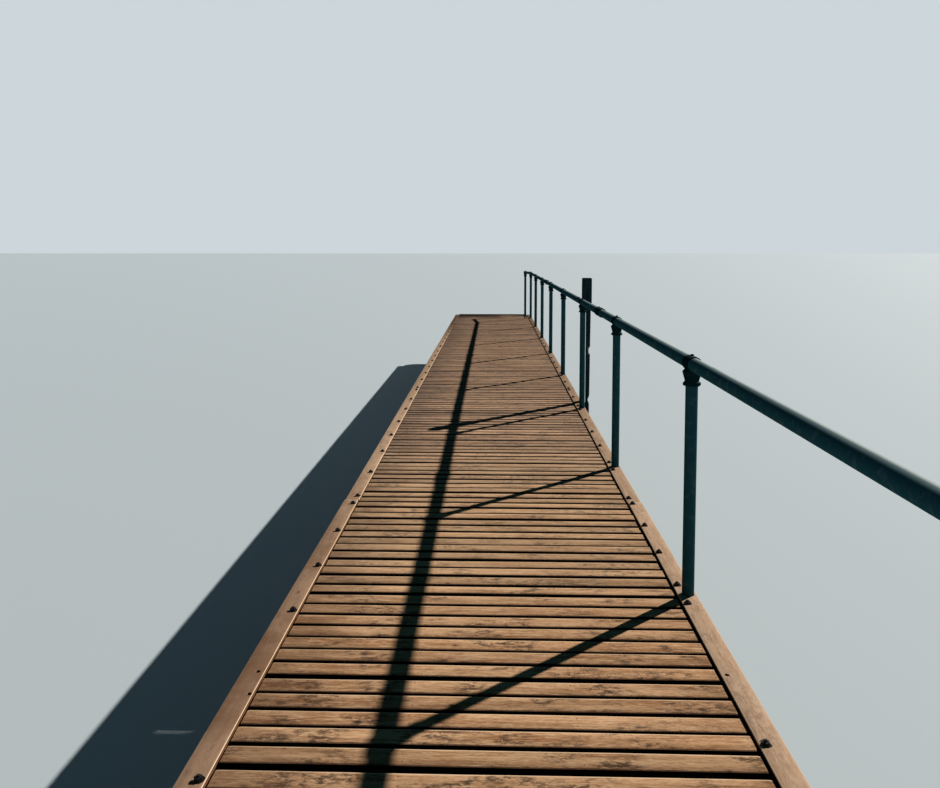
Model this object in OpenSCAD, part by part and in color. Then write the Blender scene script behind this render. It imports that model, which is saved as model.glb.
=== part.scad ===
// A straight timber jetty on driven piles, with a tube handrail along its right side.
// Every support is a pair of round piles clasped by a pair of crosshead timbers. Stringers
// lie on the crossheads, deck boards lie across the stringers, and a kerb runs along each
// edge of the deck. Each handrail post drops through the kerb and stands in a bored packer
// between the two crosshead timbers. Cast tees join the posts to the rail.
//
// Frame: millimetres, +Z up, +Y from the shore end to the far end, +X towards the handrail.
// The origin is midway along the jetty, midway between the crosshead ends, at water level.

/* [Length] */
// Distance between supports
bay_l = 2100; // [1500:50:2600]
// Number of whole bays
bays = 8; // [6:1:10]
// Deck between the shore end and the first support
shore_l = 300; // [220:10:600]
// Deck between the last whole bay and the far end
end_l = 950; // [750:10:1200]
// Distance of the last support's outer face inside the far end
end_setback = 10; // [4:1:60]

/* [Deck] */
// Height of the deck boards' top above the water
deck_h = 1100; // [900:10:1500]
// Width of the deck over both kerbs
deck_w = 1825; // [1500:5:2200]
// Width of one deck board
board_w = 85; // [60:1:150]
// Thickness of one deck board
board_t = 38; // [25:1:60]
// Gap aimed at between two deck boards
board_gap = 15; // [5:1:30]
// Bevel along the top edges of the boards and kerbs
arris = 3; // [1:0.5:6]
// Space between the ends of the boards and the kerb
board_end_gap = 10; // [2:1:20]
// How far the ends of the boards rest on the outer stringers
board_bearing = 25; // [15:1:40]

/* [Kerb] */
// Width of a kerb
kerb_w = 84; // [75:1:120]
// Height of the side kerbs above the deck boards
kerb_rise = 10; // [4:1:60]
// Height of the end kerb above the deck boards
end_kerb_rise = 25; // [4:1:60]
// Length of the first timber of a side kerb, at the shore end
kerb_first_l = 3695; // [1500:5:4800]
// Length of each further timber of a side kerb
kerb_l = 3940; // [2400:10:4800]
// Shortest timber left at the far end of a side kerb
kerb_last_l = 1500; // [600:50:2000]
// Open joint between two lengths of timber
timber_joint = 3; // [2:1:8]
// Number of bays between two joints in a line of stringers or rail
splice_bays = 3; // [2:1:3]

/* [Frame] */
// Thickness of a stringer
stringer_t = 75; // [50:1:100]
// Depth of a stringer
stringer_h = 150; // [120:5:250]
// Lines of stringers
stringer_lines = 4; // [3:1:5]
// Thickness of a crosshead timber
crosshead_t = 75; // [50:1:100]
// Depth of a crosshead timber
crosshead_h = 175; // [150:5:250]
// How far a crosshead reaches past the deck's edge
crosshead_overhang = 95.5; // [60:0.5:200]
// Clear space between the two crosshead timbers of a support
crosshead_gap = 115; // [90:1:140]
// Bevel under the ends of a crosshead timber
crosshead_bevel = 50; // [10:1:90]

/* [Piles] */
// Diameter of a pile
pile_d = 165; // [145:1:200]
// Space between a pile and the packer of the end post
pile_gap = 25; // [5:1:80]
// Bevel round the head of a pile
pile_bevel = 12; // [4:1:25]

/* [Handrail] */
// Height of the rail's centre above the deck boards
rail_h = 1050; // [850:10:1200]
// Outer diameter of the rail
rail_d = 60; // [48:0.5:70]
// Outer diameter of a handrail post
post_d = 54; // [42:0.5:60]
// Wall thickness of the rail and posts
tube_wall = 4; // [2:0.5:6]
// Distance of the handrail posts inside the deck's edge
post_inset = 36.5; // [34:0.5:45]
// Distance of the end post inside the ends of the boards
end_post_inset = 37.5; // [34:0.5:45]
// Room round a post in the timbers that it passes
post_clearance = 1; // [0.5:0.1:3]
// Gap between the top of a post and the rail
post_top_gap = 2; // [1:0.5:6]
// Length of rail past the first and the last post
rail_stub = 75; // [60:1:150]
// Distance of the rail's bend past the last bay's post
rail_bend_run = 70; // [60:1:200]
// Length of the packer that holds a post
packer_l = 150; // [100:5:160]

/* [Handrail fittings] */
// Wall thickness of a collar or sleeve round the rail
collar_wall = 5; // [4:0.5:8]
// Length of a tee's collar along the rail
collar_l = 84; // [70:1:110]
// Wall thickness of a tee's socket
socket_wall = 4; // [3:0.5:8]
// Length of a tee's socket below the rail's centre
socket_l = 97; // [94:1:130]
// How far a tee's shoulder stands out past its collar
shoulder_rise = 7; // [4:0.5:10]
// Depth of the shoulder below the rail's centre
shoulder_drop = 34; // [28:1:36]
// Length of the taper from the shoulder to the socket
neck_taper = 38; // [20:1:40]
// Height of the lip round the mouth of a socket or sleeve
lip_h = 16; // [8:1:18]
// How far a lip stands proud
lip_rise = 3.5; // [2:0.5:6]
// Diameter of a set screw's boss
boss_d = 14; // [8:1:16]
// How far the boss on top of a collar stands out
boss_rise = 7; // [3:0.5:10]
// How far the bosses on a lip stand out
lip_boss_rise = 3.5; // [2:0.5:8]
// Length of a plug past the end of the rail
plug_l = 11; // [6:1:20]
// Length of the sleeve over a joint in the rail
sleeve_l = 200; // [120:5:260]
// Place of the sleeves as a share of their bay
sleeve_at = 0.41; // [0.2:0.01:0.8]
// Play between a fitting and its tube
tube_play = 0.3; // [0.1:0.05:0.8]

/* [Mooring] */
// Side of the square mooring post
mooring_w = 95; // [80:1:110]
// Height of the mooring post above the deck boards
mooring_h = 1275; // [1100:5:1500]
// Length of its full head
mooring_head_l = 300; // [150:10:500]
// Space between the deck's edge and the mooring post
mooring_gap = 0.5; // [0.5:0.5:10]
// Width of the neck below the head
mooring_neck_w = 42; // [30:1:60]
// Distance of the neck's outer side inside the head's
mooring_neck_inset = 9; // [2:1:15]
// Width of the neck where it meets the foot
mooring_waist_w = 33; // [25:1:55]
// Width of the foot, which lies against the kerb
mooring_foot_w = 77; // [60:1:80]
// Distance of the foot's shoulder below the kerb's top
mooring_foot_drop = 30; // [10:1:60]
// Height above the deck of the groove that ropes have worn
groove_z = 535; // [300:5:700]
// Height of the groove
groove_h = 80; // [30:2:120]
// Depth of the groove
groove_depth = 14; // [4:1:20]
// Bevel round the top of the mooring post
mooring_bevel = 6; // [2:1:15]
// Number of bays between the first support and the mooring post
mooring_bays = 3; // [1:1:6]
// Distance of the mooring post past its support
mooring_run = 215; // [5:5:600]

/* [Cleat] */
// Length of the small cleat on the deck
cleat_l = 120; // [90:5:200]
// Distance aimed at between the last bay's post and the cleat
cleat_run = 100; // [60:10:500]
// Distance of the cleat's tip inside the ends of the boards
cleat_edge = 3; // [1:1:200]
// Height of the cleat
cleat_h = 60; // [30:1:90]
// Thickness of the cleat's horns
cleat_d = 22; // [12:1:25]

/* [Hidden] */
supports = bays + 2;
parts = ["shore", "middle", "far"];
function numbered(name, i) = str(name, i < 10 ? "0" : "", i);
function bay_name(i) = i < bays ? str("deck_bay_", i + 1) : "deck_end";
$fn = 48;
// Small overlap that keeps a cut from ending on a face
cut = 1;

// Colours
PILE_COLOUR = [0.20, 0.17, 0.14];
FRAME_COLOUR = [0.33, 0.25, 0.19];
BOARD_COLOUR = [0.62, 0.44, 0.32];
KERB_COLOUR = [0.70, 0.54, 0.41];
TUBE_COLOUR = [0.05, 0.16, 0.18];
CAST_COLOUR = [0.08, 0.20, 0.22];
MOORING_COLOUR = [0.07, 0.07, 0.07];

// Heights
board_base = deck_h - board_t;
crosshead_top = board_base - stringer_h;
crosshead_base = crosshead_top - crosshead_h;
kerb_top = deck_h + kerb_rise;
rail_z = deck_h + rail_h;
post_top = rail_z - rail_d / 2 - post_top_gap;

// Places across the jetty, measured in from the deck's edge
deck_half = deck_w / 2;
board_half = deck_half - kerb_w - board_end_gap;
crosshead_half = deck_half + crosshead_overhang;
outer_stringer_x = board_half - board_bearing + stringer_t / 2;
stringer_step = 2 * outer_stringer_x / (stringer_lines - 1);
post_x = deck_half - post_inset;
end_post_x = board_half - end_post_inset;
pile_x = end_post_x - packer_l / 2 - pile_gap - pile_d / 2;

// Places along the jetty
deck_l = shore_l + bays * bay_l + end_l;
crosshead_offset = (crosshead_gap + crosshead_t) / 2;
support_half = crosshead_gap / 2 + crosshead_t;
shore_y = -deck_l / 2;
far_y = deck_l / 2;
end_support_y = far_y - support_half - end_setback;
function support_y(i) = i > bays ? end_support_y : shore_y + shore_l + i * bay_l;
function support_post_x(i) = i > bays ? end_post_x : post_x;

// Deck boards, spread evenly from the shore end to the end kerb
board_run = deck_l - kerb_w - board_end_gap;
board_count = round((board_run + board_gap) / (board_w + board_gap));
board_pitch = (board_run + board_gap) / board_count;
function board_y(i) = shore_y + i * board_pitch;
function board_bay(i) = min(bays, max(0, floor((i * board_pitch + board_w / 2 - shore_l) / bay_l)));

// Stringers meet over the far timber of a support
splice_1 = splice_bays;
splice_2 = 2 * splice_bays;
stringer_breaks = [
    shore_y,
    support_y(splice_1) + crosshead_offset,
    support_y(splice_2) + crosshead_offset,
    far_y
];

// Side kerbs are laid from the shore end, and the last timber takes what is left
kerb_breaks = [
    shore_y,
    for (y = [shore_y + kerb_first_l : kerb_l : far_y - kerb_last_l]) y,
    far_y
];

// Rail lengths meet in the sleeves
rail_start = support_y(0) - rail_stub;
sleeve_1_y = support_y(splice_1 - 1) + sleeve_at * bay_l;
sleeve_2_y = support_y(splice_2 - 1) + sleeve_at * bay_l;
bend_y = support_y(bays) + rail_bend_run;
end_run = [end_post_x - post_x, end_support_y - bend_y];
end_turn = atan2(-end_run[0], end_run[1]);
end_length = norm(end_run) + rail_stub;

// Fittings
rail_bore = rail_d / 2 + tube_play;
post_bore = post_d / 2 + tube_play;
collar_r = rail_bore + collar_wall;
socket_r = post_bore + socket_wall;
shoulder_r = collar_r + shoulder_rise;
shoulder_top = shoulder_drop - 2 * shoulder_rise;

// Mooring post, with its foot against the kerb
mooring_x = deck_half + mooring_gap;
mooring_y = support_y(mooring_bays) + support_half + mooring_run;
mooring_top = deck_h + mooring_h;
neck_top = mooring_top - mooring_head_l;
neck_base = kerb_top - mooring_foot_drop;
neck_side = mooring_w - mooring_neck_inset;
groove_rise = (deck_h + groove_z - neck_base) / (neck_top - neck_base);
groove_side = mooring_foot_w + groove_rise * (neck_side - mooring_foot_w);

// Cleat, on the middle of a deck board
cleat_board = round((support_y(bays) + cleat_run - board_w / 2 - shore_y) / board_pitch);
cleat_y = board_y(cleat_board) + board_w / 2;

// A hollow tube that stands on the XY plane
module tube(diameter, length) {
    difference() {
        cylinder(d = diameter, h = length);
        translate([0, 0, -cut]) cylinder(d = diameter - 2 * tube_wall, h = length + 2 * cut);
    }
}

// A bar that lies along +Y from the origin
module along_y() {
    rotate([-90, 0, 0]) children();
}

// A straight timber from y0 to y1, centred on x
module timber(x, y0, y1, z, thickness, depth) {
    translate([x - thickness / 2, y0, z]) cube([thickness, y1 - y0, depth]);
}

// The end outline of a board or kerb, with its two top edges bevelled
module eased_outline(width, thickness) {
    polygon([
        [0, 0], [width, 0], [width, thickness - arris], [width - arris, thickness],
        [arris, thickness], [0, thickness - arris]
    ]);
}

// The hole that a handrail post needs in the timbers it passes
module post_hole(i, play) {
    translate([support_post_x(i), support_y(i), crosshead_base - cut])
        cylinder(d = post_d + 2 * play, h = kerb_top - crosshead_base + 2 * cut);
}

// One pile, with shoulders that the crossheads rest on and a bevelled head between them
module pile(x, y) {
    translate([x, y, 0]) {
        cylinder(d = pile_d, h = crosshead_base);
        intersection() {
            union() {
                cylinder(d = pile_d, h = crosshead_top - pile_bevel);
                translate([0, 0, crosshead_top - pile_bevel])
                    cylinder(r1 = pile_d / 2, r2 = pile_d / 2 - pile_bevel, h = pile_bevel);
            }
            translate([-pile_d, -crosshead_gap / 2, 0])
                cube([2 * pile_d, crosshead_gap, crosshead_top]);
        }
    }
}

module piles(side) {
    color(PILE_COLOUR)
        for (i = [0 : supports - 1]) pile(side * pile_x, support_y(i));
}

// A pair of crosshead timbers, bevelled under their ends
module crosshead(i) {
    outline = [
        [-crosshead_half + crosshead_bevel, 0],
        [crosshead_half - crosshead_bevel, 0],
        [crosshead_half, crosshead_bevel],
        [crosshead_half, crosshead_h],
        [-crosshead_half, crosshead_h],
        [-crosshead_half, crosshead_bevel]
    ];
    color(FRAME_COLOUR)
        for (side = [-1, 1])
            translate([0, support_y(i) + side * crosshead_offset + crosshead_t / 2, crosshead_base])
                rotate([90, 0, 0]) linear_extrude(crosshead_t) polygon(outline);
}

// The stringers of one length, the outer one notched where the handrail posts pass
module stringers(part) {
    y0 = stringer_breaks[part] + (part > 0 ? timber_joint / 2 : 0);
    y1 = stringer_breaks[part + 1] - (part < 2 ? timber_joint / 2 : 0);
    color(FRAME_COLOUR)
        difference() {
            for (line = [0 : stringer_lines - 1])
                timber(
                    line * stringer_step - outer_stringer_x,
                    y0, y1, crosshead_top, stringer_t, stringer_h
                );
            for (i = [0 : supports - 1]) post_hole(i, post_clearance);
        }
}

// The deck boards of one bay
module deck_bay(bay) {
    color(BOARD_COLOUR)
        difference() {
            for (i = [0 : board_count - 1])
                if (board_bay(i) == bay)
                    translate([-board_half, board_y(i), board_base])
                        rotate([90, 0, 90])
                            linear_extrude(2 * board_half) eased_outline(board_w, board_t);
            if (bay == bays) post_hole(supports - 1, post_clearance);
        }
}

// A side kerb in several timbers, bored for the handrail posts on the right side
module kerb(side) {
    last = len(kerb_breaks) - 2;
    color(KERB_COLOUR)
        difference() {
            for (part = [0 : last]) {
                y0 = kerb_breaks[part] + (part > 0 ? timber_joint / 2 : 0);
                y1 = kerb_breaks[part + 1] - (part < last ? timber_joint / 2 : 0);
                translate([side * (deck_half - kerb_w / 2) - kerb_w / 2, y1, board_base])
                    rotate([90, 0, 0])
                        linear_extrude(y1 - y0) eased_outline(kerb_w, board_t + kerb_rise);
            }
            if (side > 0)
                for (i = [0 : bays]) post_hole(i, post_clearance);
        }
}

// The kerb across the far end, between the two side kerbs
module kerb_end() {
    color(KERB_COLOUR)
        translate([-board_half, far_y - kerb_w, board_base])
            rotate([90, 0, 90])
                linear_extrude(2 * board_half) eased_outline(kerb_w, board_t + end_kerb_rise);
}

// Bored blocks between the crosshead timbers, one under each handrail post
module post_packers() {
    color(FRAME_COLOUR)
        difference() {
            for (i = [0 : supports - 1])
                translate([
                    support_post_x(i) - packer_l / 2,
                    support_y(i) - crosshead_gap / 2,
                    crosshead_base
                ]) cube([packer_l, crosshead_gap, crosshead_h]);
            for (i = [0 : supports - 1]) post_hole(i, tube_play);
        }
}

// One handrail post, from the foot of its packer into the socket of its tee
module rail_post(i) {
    color(TUBE_COLOUR)
        translate([support_post_x(i), support_y(i), crosshead_base])
            tube(post_d, post_top - crosshead_base);
}

// A straight length of rail
module rail(y0, y1) {
    color(TUBE_COLOUR)
        translate([post_x, y0, rail_z]) along_y() tube(rail_d, y1 - y0);
}

// One side of the mitre where the rail turns in towards the end post: +1 far, -1 near
module mitre_cut(side) {
    reach = 2 * rail_d;
    translate([post_x, bend_y, rail_z])
        rotate([0, 0, end_turn / 2])
            translate([-reach, side > 0 ? 0 : -2 * reach, -reach])
                cube(2 * reach);
}

// The last straight length of rail, cut to the mitre
module rail_far() {
    y0 = sleeve_2_y + timber_joint / 2;
    color(TUBE_COLOUR)
        difference() {
            translate([post_x, y0, rail_z]) along_y() tube(rail_d, bend_y + rail_d / 2 - y0);
            mitre_cut(1);
        }
}

// The short length that runs on from the mitre over the end post
module rail_end() {
    color(TUBE_COLOUR)
        difference() {
            translate([post_x, bend_y, rail_z])
                rotate([0, 0, end_turn])
                    translate([0, -rail_d / 2, 0])
                        along_y() tube(rail_d, rail_d / 2 + end_length);
            mitre_cut(-1);
        }
}

// The turned outline of a tee's neck, from inside the collar to the lip round its mouth
module neck() {
    rotate_extrude()
        polygon([
            [0, -shoulder_top],
            [sqrt(pow(collar_r, 2) - pow(shoulder_top, 2)), -shoulder_top],
            [shoulder_r, -shoulder_drop],
            [socket_r, -shoulder_drop - neck_taper],
            [socket_r, -socket_l + lip_h + lip_rise],
            [socket_r + lip_rise, -socket_l + lip_h],
            [socket_r + lip_rise, -socket_l],
            [0, -socket_l]
        ]);
}

// A cast tee: a collar round the rail and a socket for the post, with set screw bosses
module tee(turn) {
    lip_boss_reach = socket_r + lip_rise + lip_boss_rise;
    rotate([0, 0, turn])
        difference() {
            union() {
                translate([0, -collar_l / 2, 0]) along_y() cylinder(r = collar_r, h = collar_l);
                neck();
                cylinder(d = boss_d, h = collar_r + boss_rise);
                translate([-lip_boss_reach, 0, -socket_l + lip_h / 2])
                    rotate([0, 90, 0]) cylinder(d = boss_d, h = 2 * lip_boss_reach);
            }
            translate([0, -collar_l, 0]) along_y() cylinder(r = rail_bore, h = 2 * collar_l);
            translate([0, 0, -socket_l - cut]) cylinder(r = post_bore, h = socket_l);
        }
}

// A sleeve over the joint between two lengths of rail, with a lip at each end
module sleeve() {
    translate([0, -sleeve_l / 2, 0])
        along_y()
            difference() {
                union() {
                    cylinder(r = collar_r, h = sleeve_l);
                    for (z = [0, sleeve_l - lip_h])
                        translate([0, 0, z]) cylinder(r = collar_r + lip_rise / 2, h = lip_h);
                    for (z = [lip_h / 2, sleeve_l - lip_h / 2])
                        translate([0, 0, z])
                            rotate([90, 0, 0])
                                cylinder(d = boss_d, h = collar_r + lip_rise / 2 + lip_boss_rise);
                }
                translate([0, 0, -cut]) cylinder(r = rail_bore, h = sleeve_l + 2 * cut);
            }
}

// A stepped plug in the open end of the rail, facing -Y
module plug() {
    rotate([90, 0, 0]) {
        cylinder(d = rail_d, h = plug_l / 2);
        translate([0, 0, plug_l / 2]) cylinder(d1 = rail_d, d2 = rail_d / 2, h = plug_l / 2);
    }
}

module rail_fittings() {
    color(CAST_COLOUR) {
        for (i = [0 : supports - 1])
            translate([support_post_x(i), support_y(i), rail_z]) tee(i > bays ? end_turn : 0);
        for (y = [sleeve_1_y, sleeve_2_y]) translate([post_x, y, rail_z]) sleeve();
        translate([post_x, rail_start, rail_z]) plug();
        translate([post_x, bend_y, rail_z]) rotate([0, 0, end_turn])
            translate([0, end_length, 0]) rotate([0, 0, 180]) plug();
    }
}

// The front outline of the mooring post: foot, tapered neck and full head
module mooring_outline() {
    polygon([
        [0, 0],
        [mooring_foot_w, 0],
        [mooring_foot_w, neck_base],
        [groove_side, deck_h + groove_z - groove_h / 2],
        [groove_side - groove_depth, deck_h + groove_z - groove_h / 6],
        [groove_side - groove_depth, deck_h + groove_z + groove_h / 6],
        [groove_side, deck_h + groove_z + groove_h / 2],
        [neck_side, neck_top],
        [mooring_w, neck_top],
        [mooring_w, mooring_top - mooring_bevel],
        [mooring_w - mooring_bevel, mooring_top],
        [mooring_bevel, mooring_top],
        [0, mooring_top - mooring_bevel],
        [0, neck_top],
        [neck_side - mooring_neck_w, neck_top],
        [mooring_foot_w - mooring_waist_w, neck_base],
        [0, neck_base]
    ]);
}

// The side outline of the mooring post, bevelled round its top
module mooring_side_outline() {
    polygon([
        [0, 0],
        [mooring_w, 0],
        [mooring_w, mooring_top - mooring_bevel],
        [mooring_w - mooring_bevel, mooring_top],
        [mooring_bevel, mooring_top],
        [0, mooring_top - mooring_bevel]
    ]);
}

// The old mooring post: a square timber, cut back and worn between its head and its foot
module mooring_post() {
    color(MOORING_COLOUR)
        translate([mooring_x, mooring_y, 0])
            intersection() {
                translate([0, mooring_w, 0])
                    rotate([90, 0, 0]) linear_extrude(mooring_w) mooring_outline();
                rotate([90, 0, 90]) linear_extrude(mooring_w) mooring_side_outline();
            }
}

// A small horn cleat that lies across the deck near the far end
module mooring_cleat() {
    horn_z = cleat_h - cleat_d / 2;
    color(CAST_COLOUR)
        translate([board_half - cleat_edge - cleat_l / 2, cleat_y, deck_h]) {
            translate([-cleat_l / 4, -cleat_d, 0]) cube([cleat_l / 2, 2 * cleat_d, cleat_d / 3]);
            for (side = [-1, 1])
                translate([side * cleat_l / 6, 0, 0]) cylinder(d = cleat_d, h = horn_z);
            translate([0, 0, horn_z])
                rotate([0, 90, 0]) {
                    cylinder(d = cleat_d, h = cleat_l / 2, center = true);
                    for (side = [0, 1])
                        mirror([0, 0, side])
                            translate([0, 0, cleat_l / 4])
                                cylinder(d1 = cleat_d, d2 = cleat_d / 2, h = cleat_l / 4);
                }
        }
}

piles(-1);  // piles_left
piles(1);  // piles_right
for (i = [0 : supports - 1])
    crosshead(i);
for (i = [0 : len(parts) - 1])
    stringers(i);
for (bay = [0 : bays])
    deck_bay(bay);
kerb(-1);  // kerb_left
kerb(1);  // kerb_right
kerb_end();
post_packers();
for (i = [0 : supports - 1])
    rail_post(i);
rail(rail_start, sleeve_1_y - timber_joint / 2);  // rail_shore
rail(sleeve_1_y + timber_joint / 2, sleeve_2_y - timber_joint / 2);  // rail_middle
rail_far();
rail_end();
rail_fittings();
mooring_post();
mooring_cleat();
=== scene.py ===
# %% [markdown]
# A timber jetty on round piles, with a tube handrail along its right side.
# The solids come packed in a frame that is already at its real size, in metres, with +Y along
# the deck and the feet of the piles at height zero. This lesson dresses them: it works timber
# and paint over the solids, and models what they leave out, such as boards that have moved,
# bolts, nails, cracks and worn edges.

import math
import random

import bmesh
import bpy
from mathutils import Matrix, Vector, noise


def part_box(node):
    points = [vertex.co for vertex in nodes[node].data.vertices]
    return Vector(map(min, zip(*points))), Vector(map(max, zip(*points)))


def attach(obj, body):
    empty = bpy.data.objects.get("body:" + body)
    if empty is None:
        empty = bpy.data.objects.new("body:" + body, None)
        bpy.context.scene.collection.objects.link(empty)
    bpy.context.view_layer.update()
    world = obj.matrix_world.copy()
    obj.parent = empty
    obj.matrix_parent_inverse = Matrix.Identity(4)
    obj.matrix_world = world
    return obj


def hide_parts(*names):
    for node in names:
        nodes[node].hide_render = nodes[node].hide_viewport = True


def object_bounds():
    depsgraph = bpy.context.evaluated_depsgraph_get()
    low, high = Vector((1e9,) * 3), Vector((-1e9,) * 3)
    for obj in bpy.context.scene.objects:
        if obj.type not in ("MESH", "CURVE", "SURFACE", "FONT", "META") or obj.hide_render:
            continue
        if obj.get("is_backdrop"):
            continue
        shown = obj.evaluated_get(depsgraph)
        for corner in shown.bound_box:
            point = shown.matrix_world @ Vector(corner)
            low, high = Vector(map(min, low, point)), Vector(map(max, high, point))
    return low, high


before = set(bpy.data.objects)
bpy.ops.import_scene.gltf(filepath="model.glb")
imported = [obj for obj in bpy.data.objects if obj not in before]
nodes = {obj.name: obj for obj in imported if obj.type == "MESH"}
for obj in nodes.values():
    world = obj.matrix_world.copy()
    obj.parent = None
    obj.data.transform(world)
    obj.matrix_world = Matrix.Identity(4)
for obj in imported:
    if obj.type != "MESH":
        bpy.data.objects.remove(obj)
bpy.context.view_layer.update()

# %% [markdown]
# The places of the supports are read from the frame, so that everything added here lands on
# what carries it. A support is a pair of crosshead timbers, and a handrail post stands over
# the middle of each pair.

# %% Read the places of the supports and posts
def middle(node):
    """The middle of a node's box."""
    low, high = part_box(node)
    return (low + high) / 2


support_count = sum(name.startswith("crosshead_") for name in nodes)
supports = [middle(f"crosshead_{i + 1:02d}") for i in range(support_count)]
posts = [middle(f"rail_post_{i + 1:02d}") for i in range(support_count)]
post_radius = (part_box("rail_post_01")[1].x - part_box("rail_post_01")[0].x) / 2
bay = supports[1].y - supports[0].y
deck_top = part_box("deck_bay_1")[1].z
kerb_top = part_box("kerb_right")[1].z
print("supports:", support_count, "bay:", round(bay, 3), "deck at", round(deck_top, 3))

# %% [markdown]
# The camera stands on the deck at eye height and looks straight along it. The point where all
# lines along the deck meet gives its heading and its tilt. The optical centre lies above the
# picture's middle, as in a picture that was cropped from a taller one: a small vertical shift
# of the lens reproduces that, where a stronger tilt would make the handrail posts lean.

# %% Set up the camera
PICTURE_W = 940
FOCAL_PX = 783
CENTRE_PX = (470, 303)
MIDDLE_Y_PX = 394
MEETING_PX = (493, 252)
EYE = Vector((0.0, -10.07, 2.64))


def new_object(name, data):
    """An object in the scene that shows some data."""
    made = bpy.data.objects.new(name, data)
    bpy.context.scene.collection.objects.link(made)
    return made


camera_data = bpy.data.cameras.new("camera")
camera_data.sensor_width = 36
camera_data.lens = camera_data.sensor_width * FOCAL_PX / PICTURE_W
camera_data.shift_y = (CENTRE_PX[1] - MIDDLE_Y_PX) / PICTURE_W
camera_data.clip_end = 5000
heading = math.atan((MEETING_PX[0] - CENTRE_PX[0]) / FOCAL_PX)
tilt = math.atan((CENTRE_PX[1] - MEETING_PX[1]) / FOCAL_PX)
camera = new_object("camera", camera_data)
camera.location = EYE
camera.rotation_euler = (math.pi / 2 - tilt, 0, heading)
bpy.context.scene.camera = camera
print("lens:", round(camera_data.lens, 2), "mm, tilt:", round(math.degrees(tilt), 2), "degrees")

# %% [markdown]
# A shader is a chain of small nodes. A few helpers keep the chains short to write: they add a
# node and set it, join or set a socket, work out numbers and vectors, lay one colour over
# another, and turn a colour as seen on a screen into the linear values that a shader works with.

# %% Helpers for node trees
def feed(tree, socket, value):
    """Joins a socket to another one, or gives it a plain value."""
    if isinstance(value, bpy.types.NodeSocket):
        tree.links.new(value, socket)
    else:
        socket.default_value = value


def add(tree, kind, inputs=None, **settings):
    """Adds a node, sets its properties, and feeds the inputs named or numbered in a dict."""
    node = tree.nodes.new(kind)
    for key, value in settings.items():
        setattr(node, key, value)
    for key, value in (inputs or {}).items():
        feed(tree, node.inputs[key], value)
    return node


def calc(tree, operation, *values):
    """A number worked out from one, two or three others."""
    return add(tree, "ShaderNodeMath", dict(enumerate(values)), operation=operation).outputs[0]


def times(tree, first, *others):
    """Numbers multiplied with each other."""
    for other in others:
        first = calc(tree, "MULTIPLY", first, other)
    return first


def vector(tree, operation, *values):
    """A vector worked out from one or two others."""
    node = add(tree, "ShaderNodeVectorMath", dict(enumerate(values)), operation=operation)
    return node.outputs["Vector"]


def scaled(tree, value, factor):
    """A vector made longer or shorter by a factor."""
    node = add(tree, "ShaderNodeVectorMath", {0: value, "Scale": factor}, operation="SCALE")
    return node.outputs["Vector"]


def split(tree, value):
    """The x, y and z of a vector."""
    return add(tree, "ShaderNodeSeparateXYZ", {0: value}).outputs


def joined(tree, x=0.0, y=0.0, z=0.0):
    """A vector put together from three numbers."""
    return add(tree, "ShaderNodeCombineXYZ", {0: x, 1: y, 2: z}).outputs[0]


def band(tree, value, start, stop):
    """A smooth rise from 0 at the start to 1 at the stop, which may be the lower of the two."""
    node = add(tree, "ShaderNodeMapRange", {"Value": value, "From Min": start, "From Max": stop},
               interpolation_type="SMOOTHSTEP")
    return node.outputs["Result"]


def colour(red, green, blue):
    """A screen colour, 0 to 255, as linear values."""
    def linear(value):
        value /= 255
        return value / 12.92 if value <= 0.04045 else ((value + 0.055) / 1.055) ** 2.4
    return (linear(red), linear(green), linear(blue), 1.0)


def ramp(tree, value, *stops):
    """A colour ramp through (position, colour) stops."""
    node = add(tree, "ShaderNodeValToRGB", {"Fac": value})
    elements = node.color_ramp.elements
    while len(elements) < len(stops):
        elements.new(0.5)
    for element, (position, tone) in zip(elements, stops):
        element.position = position
        element.color = tone
    return node.outputs["Color"]


def mix(tree, factor, first, second, blend="MIX"):
    """Two colours mixed by a factor."""
    node = add(tree, "ShaderNodeMix", data_type="RGBA", blend_type=blend)
    feed(tree, node.inputs["Factor"], factor)
    feed(tree, node.inputs[6], first)
    feed(tree, node.inputs[7], second)
    return node.outputs[2]


def layer(tree, tone, over, *shares):
    """A colour laid over another one, as strongly as the product of the shares."""
    return mix(tree, times(tree, *shares), tone, over)


def new_material(name):
    """An empty material with its tree and shader."""
    material = bpy.data.materials.new(name)
    material.use_nodes = True
    tree = material.node_tree
    return material, tree, tree.nodes["Principled BSDF"]


def place_on(tree):
    """Where a point is on the object."""
    return add(tree, "ShaderNodeTexCoord").outputs["Object"]


def facing(tree):
    """The direction that the surface faces."""
    return add(tree, "ShaderNodeNewGeometry").outputs["Normal"]


def raise_relief(tree, shader, height, strength, depth):
    """Lets a grey pattern stand out of the surface by a depth."""
    bump = add(tree, "ShaderNodeBump", {"Strength": strength, "Distance": depth, "Height": height})
    feed(tree, shader.inputs["Normal"], bump.outputs["Normal"])


def rough_noise(tree, coordinates, scale, detail=4.0, roughness=0.6, distortion=0.0):
    """The grey output of a noise texture."""
    node = add(tree, "ShaderNodeTexNoise", {
        "Vector": coordinates, "Scale": scale, "Detail": detail,
        "Roughness": roughness, "Distortion": distortion,
    })
    return node.outputs["Fac"]
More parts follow.
